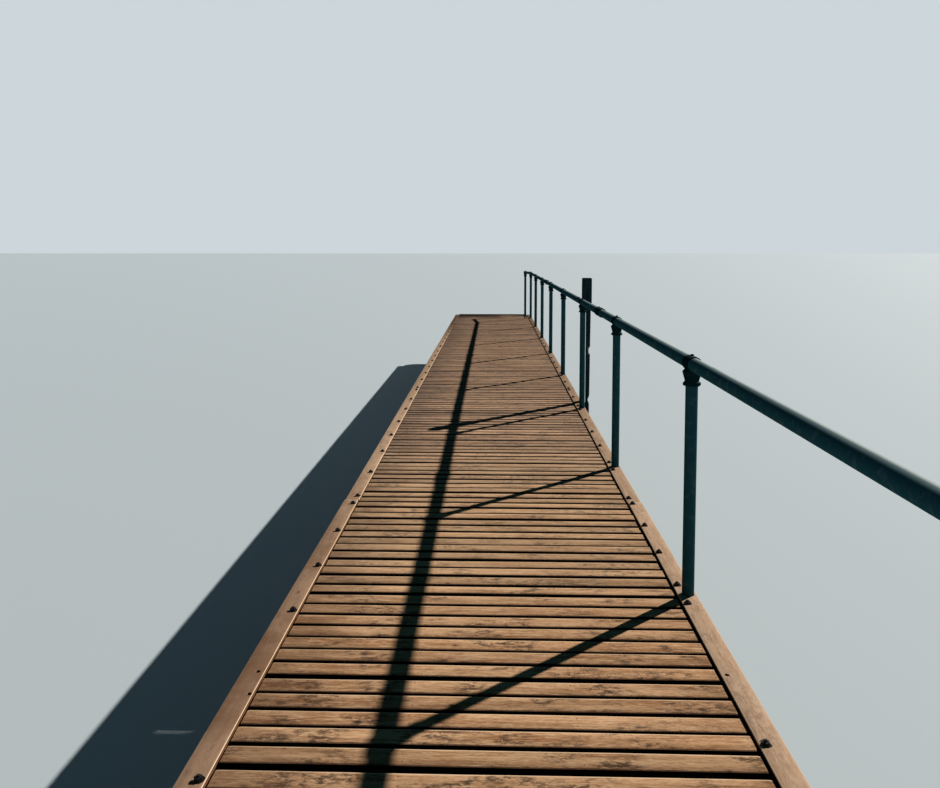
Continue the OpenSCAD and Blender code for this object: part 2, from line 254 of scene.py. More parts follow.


# %% [markdown]
# Sawn timber that has lain in the sun for years shows several things at once: fine fibres along
# the grain, broad patches where it dried unevenly, clouds of mildew, small dark knots, arrises
# that feet have worn pale, and black dirt on the faces inside a gap or a bore, where painted
# shade is laid in the same black. On the deck boards only the edge that faces the sun is pale,
# partly wear and partly a painted highlight, and the edge that faces away gets a painted shade.
# Each is a small function here, so that a timber is finished as a list of layers. The patterns
# are noises stretched along the grain. Every timber carries a random number of its own, which
# moves the pattern so that no two boards match, and the tree that makes the timbers also marks
# how near a point is to its long edges and which faces are bored.

# %% Layers of weathered timber
def drawn_out(tree, place, along, ratio):
    """Coordinates that draw a pattern out along one axis."""
    factors = tuple(1.0 if axis == along else ratio for axis in "xyz")
    return vector(tree, "MULTIPLY", place, factors)


def attribute(tree, name):
    """A number stored on the mesh."""
    return add(tree, "ShaderNodeAttribute", attribute_name=name).outputs["Fac"]


def fibres(tree, place, along):
    """Fine streaks along the grain, about 0 to 1."""
    long_streaks = rough_noise(tree, drawn_out(tree, place, along, 13.0), 7.0, 6.0, 0.75, 0.2)
    flecks = rough_noise(tree, drawn_out(tree, place, along, 6.0), 40.0, 4.0, 0.75)
    return calc(tree, "MULTIPLY_ADD", flecks, 0.5, times(tree, long_streaks, 0.5))


def mildew(tree, place, along):
    """Ragged dark clouds that gather in a few areas."""
    area = rough_noise(tree, drawn_out(tree, place, along, 1.7), 4.5, 2.0, 0.5)
    cloud = rough_noise(tree, drawn_out(tree, place, along, 2.2), 21.0, 8.0, 0.8)
    return times(tree, band(tree, area, 0.46, 0.62), band(tree, cloud, 0.45, 0.58))


def knots(tree, place, along):
    """Small dark ovals in about a third of the cells of a stretched pattern."""
    cells = add(tree, "ShaderNodeTexVoronoi", {
        "Vector": drawn_out(tree, place, along, 2.0), "Scale": 6.5}).outputs
    here = calc(tree, "GREATER_THAN", split(tree, cells["Color"])[0], 0.62)
    heart = band(tree, cells["Distance"], 0.075, 0.045)
    halo = times(tree, band(tree, cells["Distance"], 0.2, 0.05), 0.4)
    return times(tree, here, calc(tree, "MAXIMUM", heart, halo))


def upright_shade_and_dirt(tree):
    """1 on upright faces, which are those inside a gap or a bore, where painted shade and dirt go."""
    upright = calc(tree, "ABSOLUTE", split(tree, facing(tree))[2])
    return band(tree, upright, 0.85, 0.5)


def bore_shade_and_dirt(tree, place, tone):
    """Fresh wood in the mouth of a bored hole, and near black deeper down, painted shade as well as
    dirt.
    """
    depth = calc(tree, "SUBTRACT", kerb_top, split(tree, place)[2])
    bored = attribute(tree, "bore")
    tone = layer(tree, tone, colour(214, 184, 150), bored, 0.6)
    # Painted shade and dirt: near black from a few millimetres below the kerb top.
    return layer(tree, tone, colour(20, 15, 12), bored, band(tree, depth, 0.001, 0.004), 0.95)


# %% Weathered timber
def timber_material(name, along, colours, mildew_share=0.6, gap_shade_and_dirt=0.0, edge_wear_and_highlight=0.0, relief=0.5,
                    stain=None, tones=(0.84, 1.08), both_edges=True, pale_edge_from=0.92):
    """Weathered timber with its grain along one axis, in four colours from pale to dark."""
    material, tree, shader = new_material(name)
    place = place_on(tree)
    pale, light, base, dark = (colour(*screen) for screen in colours)
    own = attribute(tree, "timber")
    side = attribute(tree, "edge")
    moved = vector(tree, "ADD", place, scaled(tree, (31.0, 17.0, 23.0), own))
    streaks = fibres(tree, moved, along)
    patches = rough_noise(tree, drawn_out(tree, moved, along, 12.0), 1.7, 5.0, 0.68)

    tone = ramp(tree, patches, (0.36, base), (0.6, light))
    tone = layer(tree, tone, dark, band(tree, streaks, 0.49, 0.66), 0.75)
    tone = layer(tree, tone, pale, band(tree, streaks, 0.5, 0.38), 0.65)
    clouds = times(tree, mildew(tree, moved, along), mildew_share)
    tone = layer(tree, tone, colour(74, 58, 48), clouds)
    tone = layer(tree, tone, colour(38, 26, 20), knots(tree, moved, along), 0.9)
    shade = add(tree, "ShaderNodeMapRange", {
        "Value": own, "To Min": tones[0], "To Max": tones[1]}).outputs[0]
    grey = add(tree, "ShaderNodeCombineColor", {0: shade, 1: shade, 2: shade}).outputs[0]
    tone = mix(tree, 1.0, tone, grey, "MULTIPLY")
    # Pale arrises: wear on the kerbs; on the deck boards only the edge that faces the sun is pale,
    # partly wear and partly a painted highlight.
    if edge_wear_and_highlight:
        edge = calc(tree, "ABSOLUTE", side) if both_edges else side
        near_edge = calc(tree, "MULTIPLY_ADD", streaks, 0.1, edge)
        tone = layer(tree, tone, pale, band(tree, near_edge, pale_edge_from, pale_edge_from + 0.08), edge_wear_and_highlight)
    if stain:
        tone = stain(tree, place, tone)
    if gap_shade_and_dirt:
        # Painted shade: a dark fringe on each board's shoreward edge, which faces away from the sun,
        # partly dirt, and wider towards the far end.
        seaward = band(tree, split(tree, place)[1], -5.0, 0.0)
        reach = calc(tree, "MULTIPLY_ADD", streaks, 0.3, times(tree, seaward, 0.28))
        fringe = band(tree, calc(tree, "SUBTRACT", reach, side), 0.94, 1.06)
        tone = layer(tree, tone, dark, fringe, 0.8)
        # Painted shade and dirt: upright faces, such as board sides inside the gaps, are laid near
        # black.
        tone = layer(tree, tone, colour(18, 15, 13), upright_shade_and_dirt(tree), gap_shade_and_dirt)
    tone = bore_shade_and_dirt(tree, place, tone)
    feed(tree, shader.inputs["Base Color"], tone)
    feed(tree, shader.inputs["Roughness"], calc(tree, "MULTIPLY_ADD", streaks, 0.25, 0.6))
    shader.inputs["Specular IOR Level"].default_value = 0.0
    hollow = calc(tree, "ADD", streaks, times(tree, clouds, 0.4))
    raise_relief(tree, shader, times(tree, hollow, -1.0), relief, 0.002)
    return material


# %% [markdown]
# Age doesn't show the same everywhere along a jetty, so some timbers get one more layer, whose
# colours change with the place. Places along the deck are metres from its middle, with the
# near end at about -9 and the far end at 9, and heights start at the feet of the piles. The
# kerb's stain also needs its joints, because the cut ends there are pale, and the mooring
# post's needs the groove that ropes have worn. The kerb's layer also lays a painted highlight
# and painted shade on the inner faces beside the boards.

# %% Stains that change with the place
KERB_FIRST = 3.695
KERB_LENGTH = 3.94
FIRST_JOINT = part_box("kerb_right")[0].y + KERB_FIRST
GROOVE_RISE = 0.535
ROPE_REACH = 0.040
# Near black painted shade for the kerbs' inner faces.
PAINTED_SHADE_WOOD = colour(24, 18, 14)


def end_stain(tree, place, tone):
    """Darkens boards towards their ends, bleaches one stretch, and greys the far deck."""
    x, y = split(tree, place)[:2]
    cloud = rough_noise(tree, vector(tree, "MULTIPLY", place, (3.0, 9.0, 9.0)), 1.5, 5.0, 0.65)
    reach = calc(tree, "MULTIPLY_ADD", cloud, 0.9, x)
    left = times(tree, band(tree, reach, 0.05, -0.45), 0.55)
    right = times(tree, band(tree, calc(tree, "SUBTRACT", x, cloud), 0.1, 0.4), 0.3)
    tone = layer(tree, tone, colour(98, 72, 54), calc(tree, "MAXIMUM", left, right))
    dry = times(tree, band(tree, y, -7.0, -6.2), band(tree, y, -3.4, -4.6))
    cloudy = calc(tree, "MULTIPLY_ADD", cloud, 0.4, -0.06)
    tone = layer(tree, tone, colour(228, 200, 164), dry, cloudy)
    tone = layer(tree, tone, colour(148, 148, 148), band(tree, y, -6.0, -2.6), 0.22)
    tone = layer(tree, tone, colour(92, 76, 68), band(tree, y, 1.0, 6.0), 0.14)
    corner = times(tree, band(tree, y, 7.9, 8.7), band(tree, calc(tree, "ADD", x, cloud), 0.9, 0.4))
    return layer(tree, tone, colour(34, 34, 32), corner, 0.8)


def kerb_stain(tree, place, tone):
    """Damp at the near end on the left, darker on the right and far out, pale cut ends at the
    joints, a painted highlight in a pale line above the boards on the sunlit inner face, and
    painted shade below it and on the right kerb's shaded inner face."""
    x, y, z = split(tree, place)
    left = calc(tree, "LESS_THAN", x, 0.0)
    right = calc(tree, "GREATER_THAN", x, 0.0)
    cloud = rough_noise(tree, place, 2.2, 5.0, 0.65)
    damp = calc(tree, "MULTIPLY_ADD", band(tree, cloud, 0.6, 0.35), 0.25, 0.65)
    near_left = times(tree, band(tree, y, -3.0, -7.0), band(tree, x, 0.0, -0.5))
    tone = layer(tree, tone, colour(115, 84, 63), near_left, damp)
    tone = layer(tree, tone, colour(96, 74, 58), band(tree, y, -5.2, 0.0), 0.45)
    tone = layer(tree, tone, colour(120, 96, 76), right, 0.24)

    half_timber = KERB_LENGTH / 2
    along = calc(tree, "WRAP", y, FIRST_JOINT + half_timber, FIRST_JOINT - half_timber)
    end_before = band(tree, along, FIRST_JOINT - 0.012, FIRST_JOINT - 0.006)
    end_after = band(tree, along, FIRST_JOINT + 0.0035, FIRST_JOINT + 0.001)
    tone = layer(tree, tone, colour(236, 226, 204), end_before, end_after, 0.7)

    outward = times(tree, split(tree, facing(tree))[0], calc(tree, "SIGN", x))
    patchy = calc(tree, "MULTIPLY_ADD", cloud, 0.5, 0.35)
    tone = layer(tree, tone, colour(120, 96, 76), band(tree, outward, 0.75, 0.95), patchy)
    # Painted highlight: a pale line along the top of the left kerb's sunlit inner face, brown below it.
    # Painted shade: near black on the right kerb's shaded inner face, and on both below the board tops.
    highlight_cutoff = band(tree, z, deck_top + 0.0065, deck_top + 0.005)
    sunlit = mix(tree, highlight_cutoff, colour(240, 212, 176), colour(112, 80, 56))
    sunlit = mix(tree, band(tree, z, deck_top - 0.006, deck_top - 0.013), sunlit, PAINTED_SHADE_WOOD)
    shaded = mix(tree, band(tree, z, deck_top + 0.008, deck_top + 0.001), tone, PAINTED_SHADE_WOOD)
    inner_face = mix(tree, left, shaded, sunlit)
    tone = layer(tree, tone, inner_face, band(tree, outward, -0.4, -0.8))
    soot = calc(tree, "MULTIPLY_ADD", left, 0.45, 0.3)
    return layer(tree, tone, colour(62, 48, 40), band(tree, y, 2.5, 7.0), soot)


def foot_stain(tree, place, tone):
    """A damp dark foot with a green tinge, and a paler line above it."""
    height = split(tree, place)[2]
    ragged = calc(tree, "MULTIPLY_ADD", rough_noise(tree, place, 9.0), 0.16, height)
    tone = layer(tree, tone, colour(38, 42, 32), band(tree, ragged, 0.42, 0.2), 0.85)
    line = times(tree, band(tree, ragged, 0.36, 0.42), band(tree, ragged, 0.5, 0.43))
    return layer(tree, tone, colour(150, 142, 122), line, 0.4)


def rope_stain(tree, place, tone):
    """Bleached wood in the groove that ropes have worn, above a damp dark foot."""
    x, _, height = split(tree, place)
    rise = 0.02
    ragged = calc(tree, "MULTIPLY_ADD", rough_noise(tree, place, 60.0, 3.0, 0.6), rise, height)
    groove = deck_top + GROOVE_RISE + rise / 2
    lower = band(tree, ragged, groove - 0.043, groove - 0.029)
    upper = band(tree, ragged, groove + 0.043, groove + 0.029)
    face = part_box("mooring_post")[1].x - ROPE_REACH
    outer = band(tree, x, face, face + 0.008)
    tone = layer(tree, tone, colour(204, 208, 198), lower, upper, outer, 0.8)
    return foot_stain(tree, place, tone)


# %% Timber finishes
DECK = timber_material(
    "deck board", "x", ((232, 198, 160), (206, 162, 122), (160, 114, 78), (72, 50, 40)),
    mildew_share=0.9, gap_shade_and_dirt=0.95, edge_wear_and_highlight=0.75, stain=end_stain, tones=(0.72, 1.14),
    both_edges=False, pale_edge_from=0.82)
KERB = timber_material(
    "kerb timber", "y", ((228, 200, 170), (214, 180, 150), (200, 165, 134), (146, 112, 88)),
    mildew_share=0.35, edge_wear_and_highlight=0.9, relief=0.3, stain=kerb_stain, tones=(0.9, 1.04))
# The end kerb's dark grey colours are partly painted shade, standing for its landward face in shade.
END_KERB = timber_material(
    "end kerb timber", "x", ((84, 78, 68), (62, 60, 54), (46, 48, 46), (22, 26, 28)),
    mildew_share=0.8, edge_wear_and_highlight=0.4)
FRAME = timber_material(
    "frame timber", "x", ((146, 124, 102), (128, 106, 86), (98, 78, 62), (52, 40, 32)))
STRINGER = timber_material(
    "stringer timber", "y", ((142, 120, 99), (124, 102, 83), (94, 75, 60), (50, 39, 31)))
PILE = timber_material(
    "pile timber", "z", ((130, 113, 95), (112, 96, 80), (84, 69, 56), (42, 34, 28)),
    relief=0.8, stain=foot_stain)
# The mooring post's dark blue-green colours are partly painted shade, as they are those of its shaded
# side.
MOORING = timber_material(
    "mooring timber", "z", ((58, 78, 82), (40, 62, 68), (20, 42, 48), (8, 20, 26)),
    mildew_share=0.1, relief=1.0, stain=rope_stain)
for material in (DECK, KERB, END_KERB, FRAME, STRINGER, PILE, MOORING):
    print(material.name, "nodes:", len(material.node_tree.nodes))

# %% [markdown]
# The handrail is painted dark blue-green. A pale line along its top, on the side the sun reaches,
# is partly sun bleaching and partly a painted highlight, so it follows the surface's own normal.
# A brighter painted glint lies along the crown over the first metres from the shore. Chips show
# as small dark specks, and a low, fine bump stands for brush marks on tube and the skin of sand
# castings. Bolts and nails are dull iron with patches of rust.

# %% Paint and iron
SUNNY_SIDE = (0.48, 0.0, 0.88)


def painted_material(name, paint, chalk_and_highlight, grain, grain_depth):
    """Old paint with a pale line along its sunny top, partly bleaching and partly a painted highlight,
    and mottled all over.
    """
    material, tree, shader = new_material(name)
    place = place_on(tree)
    sunward = add(tree, "ShaderNodeVectorMath", {0: facing(tree), 1: SUNNY_SIDE},
                  operation="DOT_PRODUCT").outputs["Value"]
    worn = rough_noise(tree, drawn_out(tree, place, "y", 5.0), 4.0, 6.0, 0.7)
    # A painted glint along the crown, strongest near the shore end.
    glint_near_shore = times(tree, band(tree, split(tree, place)[1], -3.0, -8.0), 0.6)
    streaky = calc(tree, "MULTIPLY_ADD", worn, 0.3, 0.22)
    # Chalk on the sunward side, partly weathering and partly a painted highlight of the lit side.
    side = times(tree, band(tree, sunward, 0.2, 0.85), streaky)
    painted_glint = times(tree, band(tree, sunward, 0.76, 0.9), glint_near_shore, band(tree, worn, 0.25, 0.5))
    mottle = band(tree, rough_noise(tree, place, 22.0, 4.0, 0.65), 0.5, 0.75)
    bleach_and_highlight = calc(tree, "MAXIMUM", calc(tree, "ADD", side, painted_glint), times(tree, mottle, 0.12))
    tone = layer(tree, paint, chalk_and_highlight, bleach_and_highlight)
    specks = band(tree, rough_noise(tree, place, 80.0, 3.0, 0.7), 0.67, 0.72)
    tone = layer(tree, tone, colour(44, 32, 24), specks, 0.6)
    feed(tree, shader.inputs["Base Color"], tone)
    feed(tree, shader.inputs["Roughness"], calc(tree, "MULTIPLY_ADD", worn, 0.2, 0.3))
    shader.inputs["Specular IOR Level"].default_value = 0.0
    raise_relief(tree, shader, rough_noise(tree, place, grain, 3.0, 0.6), 0.5, grain_depth)
    return material


def iron_material(name, iron, rust):
    """Dull iron with rust in patches."""
    material, tree, shader = new_material(name)
    place = place_on(tree)
    patches = band(tree, rough_noise(tree, place, 34.0, 5.0, 0.7), 0.44, 0.6)
    feed(tree, shader.inputs["Base Color"], mix(tree, patches, iron, rust))
    feed(tree, shader.inputs["Roughness"], calc(tree, "MULTIPLY_ADD", patches, 0.3, 0.5))
    feed(tree, shader.inputs["Metallic"], calc(tree, "MULTIPLY_ADD", patches, -0.1, 0.1))
    shader.inputs["Specular IOR Level"].default_value = 0.1
    raise_relief(tree, shader, rough_noise(tree, place, 160.0, 3.0, 0.7), 0.4, 0.0006)
    return material


TUBE = painted_material("rail paint", colour(34, 80, 90), colour(172, 180, 176), 120.0, 0.0003)
CAST = painted_material("cast paint", colour(10, 38, 44), colour(96, 112, 112), 260.0, 0.0008)
NAIL = iron_material("nail iron", colour(104, 80, 62), colour(128, 92, 66))
IRON = iron_material("fixing iron", colour(22, 25, 28), colour(40, 29, 23))
for material in (TUBE, CAST, NAIL, IRON):
    print(material.name, "nodes:", len(material.node_tree.nodes))

# %% [markdown]
# Boards, kerbs, stringers and crossheads are all sawn timber, so one node tree makes them. It
# starts from a cube with a few rows of points, moves the outer rows in to the arris, and rounds
# the edges: each point is clamped to a slightly smaller box and pushed back out by the radius.
# Copies are then laid along a line, each a little longer, wider, higher or turned than the
# next, and a noise bends them all once they are real mesh. A subtracting mesh can cut
# sinkings, bores and notches at the end.

# %% Helpers for geometry trees
def new_group(name, inputs):
    """A geometry node group with named inputs and one geometry output."""
    tree = bpy.data.node_groups.new(name, "GeometryNodeTree")
    for label, kind in inputs.items():
        tree.interface.new_socket(label, in_out="INPUT", socket_type="NodeSocket" + kind)
    tree.interface.new_socket("Geometry", in_out="OUTPUT", socket_type="NodeSocketGeometry")
    return tree, add(tree, "NodeGroupInput").outputs


def position(tree):
    """Where a point is."""
    return add(tree, "GeometryNodeInputPosition").outputs[0]


def random_vector(tree, low, high, seed):
    """A random vector for each point, between two limits."""
    node = add(tree, "FunctionNodeRandomValue", {"Min": low, "Max": high, "Seed": seed},
               data_type="FLOAT_VECTOR")
    return node.outputs[0]


def random_number(tree, low, high, seed):
    """A random number for each point, between two limits."""
    node = add(tree, "FunctionNodeRandomValue", {"Min": low, "Max": high, "Seed": seed},
               data_type="FLOAT")
    return node.outputs[1]


def stored(tree, geometry, name, value, domain, kind="FLOAT"):
    """Geometry that carries a value under a name."""
    node = add(tree, "GeometryNodeStoreNamedAttribute", {
        "Geometry": geometry, "Name": name, "Value": value}, data_type=kind, domain=domain)
    return node.outputs[0]


def recalled(tree, name, kind="FLOAT"):
    """A value that was stored under a name."""
    return add(tree, "GeometryNodeInputNamedAttribute", {"Name": name}, data_type=kind).outputs[0]


def moved_by(tree, geometry, offset):
    """Geometry with its points moved by an offset."""
    return add(tree, "GeometryNodeSetPosition", {"Geometry": geometry, "Offset": offset}).outputs[0]


def made_real(tree, geometry):
    """Instances turned into mesh."""
    return add(tree, "GeometryNodeRealizeInstances", {"Geometry": geometry}).outputs[0]


def finished(tree, geometry, material, chosen=True):
    """Geometry with a material on the chosen faces."""
    node = add(tree, "GeometryNodeSetMaterial", {
        "Geometry": geometry, "Selection": chosen, "Material": material})
    return node.outputs[0]


# %% Timber tree
TIMBER_INPUTS = {
    "Length": "Float", "Width": "Float", "Thickness": "Float", "Arris": "Float",
    "End bevel": "Float", "Rows": "Int", "Count": "Int", "Start": "Vector", "Step": "Vector",
    "Turn": "Float", "Spread": "Vector", "Shrink": "Vector", "Skew": "Float", "Warp": "Vector",
    "Nail reach": "Vector", "Seed": "Int", "Cut": "Bool", "Cutters": "Object",
    "Timber": "Material", "Iron": "Material",
}
WIDTH_ROWS = 6
DEPTH_ROWS = 4
MERGE_WITHIN = 0.0002
ROLL_SHARE = 3.0
NAIL_RADIUS = 0.0024
NAIL_HEIGHT = 0.0010
NAIL_SIDES = 8
NAIL_STRAY = Vector((0.006, 0.004, 0.0))


def shifted_row(tree, value, half, inset, rows):
    """A coordinate whose second row from the edge moves to a set distance inside it."""
    distance = calc(tree, "ABSOLUTE", value)
    share = calc(tree, "DIVIDE", distance, half)
    steps = calc(tree, "SUBTRACT", rows, 1.0)
    outer_limit = calc(tree, "SUBTRACT", 1.0, calc(tree, "DIVIDE", 1.0, steps))
    inner_limit = calc(tree, "SUBTRACT", 1.0, calc(tree, "DIVIDE", 3.0, steps))
    inside = calc(tree, "LESS_THAN", share, outer_limit)
    outside = calc(tree, "GREATER_THAN", share, inner_limit)
    move = calc(tree, "SUBTRACT", calc(tree, "SUBTRACT", half, inset), distance)
    result = calc(tree, "MULTIPLY_ADD", times(tree, inside, outside), move, distance)
    return times(tree, result, calc(tree, "SIGN", value))


def sawn_bar(tree, get):
    """One sawn timber, centred, with rounded arrises and bevels under its ends."""
    size = joined(tree, get["Length"], get["Width"], get["Thickness"])
    cube = add(tree, "GeometryNodeMeshCube", {
        "Size": size, "Vertices X": get["Rows"], "Vertices Y": WIDTH_ROWS, "Vertices Z": DEPTH_ROWS})
    half = scaled(tree, size, 0.5)
    hx, hy, hz = split(tree, half)
    x, y, z = split(tree, position(tree))
    arris = get["Arris"]
    end_inset = calc(tree, "MAXIMUM", times(tree, arris, 2.0), get["End bevel"])
    rows = joined(
        tree, shifted_row(tree, x, hx, end_inset, get["Rows"]),
        shifted_row(tree, y, hy, arris, float(WIDTH_ROWS)),
        shifted_row(tree, z, hz, arris, float(DEPTH_ROWS)))
    inner = vector(tree, "SUBTRACT", half, joined(tree, arris, arris, arris))
    core = vector(tree, "MINIMUM", rows, inner)
    core = vector(tree, "MAXIMUM", core, scaled(tree, inner, -1.0))
    push = scaled(tree, vector(tree, "NORMALIZE", vector(tree, "SUBTRACT", rows, core)), arris)
    round_x, round_y, round_z = split(tree, vector(tree, "ADD", core, push))
    bevel_start = calc(tree, "SUBTRACT", hx, get["End bevel"])
    past = calc(tree, "SUBTRACT", calc(tree, "ABSOLUTE", round_x), bevel_start)
    lowest = calc(tree, "SUBTRACT", calc(tree, "MAXIMUM", 0.0, past), hz)
    shape = joined(tree, round_x, round_y, calc(tree, "MAXIMUM", round_z, lowest))
    placed = add(tree, "GeometryNodeSetPosition", {"Geometry": cube.outputs["Mesh"], "Position": shape})
    merged = add(tree, "GeometryNodeMergeByDistance", {
        "Geometry": placed.outputs[0], "Distance": MERGE_WITHIN})
    nearness = calc(tree, "DIVIDE", split(tree, position(tree))[1], hy)
    return stored(tree, merged.outputs[0], "edge", nearness, "CORNER")


def nail_heads(tree, get):
    """Nail heads in pairs at four places along the top of a board."""
    near_x, far_x, half_pair = split(tree, get["Nail reach"])
    pairs = add(tree, "GeometryNodeJoinGeometry")
    for reach in (near_x, far_x):
        grid = add(tree, "GeometryNodeMeshGrid", {
            "Size X": times(tree, reach, 2.0), "Size Y": times(tree, half_pair, 2.0),
            "Vertices X": 2, "Vertices Y": 2})
        tree.links.new(grid.outputs["Mesh"], pairs.inputs[0])
    head = add(tree, "GeometryNodeMeshCylinder", {
        "Vertices": NAIL_SIDES, "Radius": NAIL_RADIUS, "Depth": NAIL_HEIGHT}, fill_type="NGON")
    top = joined(tree, z=times(tree, get["Thickness"], 0.5))
    wander = random_vector(tree, -NAIL_STRAY, NAIL_STRAY, 7)
    strayed = moved_by(tree, moved_by(tree, pairs.outputs[0], top), wander)
    points = add(tree, "GeometryNodeMeshToPoints", {"Mesh": strayed})
    shown = calc(tree, "GREATER_THAN", half_pair, 0.0)
    nails = add(tree, "GeometryNodeInstanceOnPoints", {
        "Points": points.outputs[0], "Instance": head.outputs["Mesh"], "Selection": shown})
    return stored(tree, made_real(tree, nails.outputs[0]), "nail", True, "FACE", "BOOLEAN")


def make_timber_tree():
    """The tree that makes every sawn timber."""
    tree, get = new_group("sawn timber", TIMBER_INPUTS)
    seed = get["Seed"]
    unit = add(tree, "GeometryNodeJoinGeometry")
    tree.links.new(nail_heads(tree, get), unit.inputs[0])
    tree.links.new(sawn_bar(tree, get), unit.inputs[0])

    line = add(tree, "GeometryNodeMeshLine", {
        "Count": get["Count"], "Start Location": get["Start"], "Offset": get["Step"]})
    points = add(tree, "GeometryNodeMeshToPoints", {"Mesh": line.outputs[0]})
    numbered = stored(tree, points.outputs[0], "timber", random_number(tree, 0.0, 1.0, seed), "POINT")
    past_first = calc(tree, "MINIMUM", add(tree, "GeometryNodeInputIndex").outputs[0], 1.0)
    stray = random_vector(tree, scaled(tree, get["Spread"], -1.0), get["Spread"], seed)
    strayed = moved_by(tree, numbered, scaled(tree, stray, past_first))
    smallest = vector(tree, "SUBTRACT", (1.0, 1.0, 1.0), get["Shrink"])
    scale = random_vector(tree, smallest, (1.0, 1.0, 1.0), calc(tree, "ADD", seed, 1.0))
    least_skew = times(tree, get["Skew"], -1.0)
    skew = random_number(tree, least_skew, get["Skew"], calc(tree, "ADD", seed, 2.0))
    turn = joined(tree, x=times(tree, skew, ROLL_SHARE), z=calc(tree, "ADD", get["Turn"], skew))
    copies = add(tree, "GeometryNodeInstanceOnPoints", {
        "Points": strayed, "Instance": unit.outputs[0], "Scale": scale,
        "Rotation": add(tree, "FunctionNodeEulerToRotation", {0: turn}).outputs[0]})

    own = recalled(tree, "timber")
    kept = stored(tree, made_real(tree, copies.outputs[0]), "timber", own, "FACE")
    wave = add(tree, "ShaderNodeTexNoise", {
        "Vector": position(tree), "W": times(tree, own, 50.0), "Scale": 1.6, "Detail": 2.0},
        noise_dimensions="4D", normalize=True)
    centred = vector(tree, "SUBTRACT", wave.outputs["Color"], (0.5, 0.5, 0.5))
    bent = moved_by(tree, kept, vector(tree, "MULTIPLY", centred, get["Warp"]))

    knife = add(tree, "GeometryNodeObjectInfo", {"Object": get["Cutters"]}, transform_space="ORIGINAL")
    marked = stored(tree, knife.outputs["Geometry"], "bore", 1.0, "FACE")
    cut = add(tree, "GeometryNodeMeshBoolean", {"Mesh 1": bent, "Mesh 2": marked},
              operation="DIFFERENCE", solver="EXACT")
    chosen = add(tree, "GeometryNodeSwitch", {
        "Switch": get["Cut"], "False": bent, "True": cut.outputs[0]}, input_type="GEOMETRY")
    is_nail = recalled(tree, "nail", "BOOLEAN")
    is_timber = add(tree, "FunctionNodeBooleanMath", {0: is_nail}, operation="NOT").outputs[0]
    nailed = finished(tree, made_real(tree, chosen.outputs[0]), get["Iron"], is_nail)
    add(tree, "NodeGroupOutput", {0: finished(tree, nailed, get["Timber"], is_timber)})
    return tree


TIMBER_TREE = make_timber_tree()
print("timber tree nodes:", len(TIMBER_TREE.nodes))

# %% [markdown]
# The frame wants plain meshes with no modifier left. This helper gives a new object the tree,
# sets the tree's inputs by the identifiers of their sockets, reads the finished mesh back, and
# keeps only that, as a plain mesh with no modifier left. An input that isn't named stays at
# zero. Smooth shading with sharp edges above a set angle makes the small rounded arrises catch
# the light.

# %% Grow a piece from a tree
SHARP_ANGLE = math.radians(38)


def finish_mesh(mesh):
    """Smooth faces with hard edges where the surface really turns."""
    mesh.shade_smooth()
    mesh.set_sharp_from_angle(angle=SHARP_ANGLE)
    return mesh


def grow(name, tree, values, seed_mesh=None):
    """A plain mesh object made by a geometry node tree."""
    blank = new_object(name + " grower", seed_mesh or bpy.data.meshes.new(name))
    modifier = blank.modifiers.new("grow", "NODES")
    modifier.node_group = tree
    inputs = [item for item in tree.interface.items_tree if item.in_out == "INPUT"]
    sockets = {item.name: item.identifier for item in inputs}
    for label, value in values.items():
        modifier[sockets[label]] = value
    bpy.context.view_layer.update()
    evaluated = blank.evaluated_get(bpy.context.evaluated_depsgraph_get())
    mesh = finish_mesh(bpy.data.meshes.new_from_object(evaluated))
    mesh.name = name
    blank.modifiers.remove(modifier)
    bpy.data.objects.remove(blank)
    return new_object(name, mesh)


def settle(piece, slot, *replaced):
    """Hangs a piece on the root body and hides the solids that it replaces."""
    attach(piece, "root")
    if replaced:
        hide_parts(*replaced)


def from_bmesh(name, shape, material):
    """A mesh object from a bmesh."""
    mesh = bpy.data.meshes.new(name)
    shape.to_mesh(mesh)
    shape.free()
    mesh.materials.append(material)
    return new_object(name, finish_mesh(mesh))


# %% [markdown]
# Holes are cut by a mesh of cylinders, one for each hole. A hole that a tube passes is bored
# clean. The small ones have a ragged rim, since the wood round an old bolt chips away.

# %% Cutters
POST_CLEARANCE = 0.0015
POST_BORE = post_radius + POST_CLEARANCE
HOLE_SIDES = 24
OVERCUT = 0.05
RAGGED = 0.2
CHIP_FINENESS = 90


def drill(name, holes):
    """Cutters for (x, y, lowest z, highest z, radius) holes."""
    shape = bmesh.new()
    for x, y, low, high, radius in holes:
        cone = bmesh.ops.create_cone(
            shape, cap_ends=True, segments=HOLE_SIDES, radius1=radius, radius2=radius, depth=high - low,
            matrix=Matrix.Translation((x, y, (low + high) / 2)))
        if radius < post_radius:
            for vert in cone["verts"]:
                way = Vector((vert.co.x - x, vert.co.y - y, 0.0))
                chipped = noise.noise(Vector((
                    way.x * CHIP_FINENESS, way.y * CHIP_FINENESS, 10 * x + 3 * y)))
                vert.co += way * RAGGED * chipped
    mesh = bpy.data.meshes.new(name)
    shape.to_mesh(mesh)
    shape.free()
    return new_object(name, mesh)


# %% [markdown]
# The deck boards were laid with gaps of about a finger's width and have since shrunk, moved
# and cupped by a few millimetres. Each bay's box gives the number of boards and their pitch.
# The boards differ in length too, which leaves the ragged dark line beside the kerbs.

# %% Deck boards
BOARD_W = 0.085
BOARD_GAP = 0.0149
BOARD_EXTRA = 0.015
BOARD_SHIFT = -0.001
NAIL_FAR = 0.806
NAIL_NEAR = 0.277
NAIL_HALF_PAIR = 0.021
SHRUNK_SHORE = 0.05
SHRUNK_SEA = 0.16
end_post = posts[-1]
end_post_cutter = drill("end post hole", [
    (end_post.x, end_post.y, deck_top - 0.1, deck_top + 0.1, POST_BORE)])

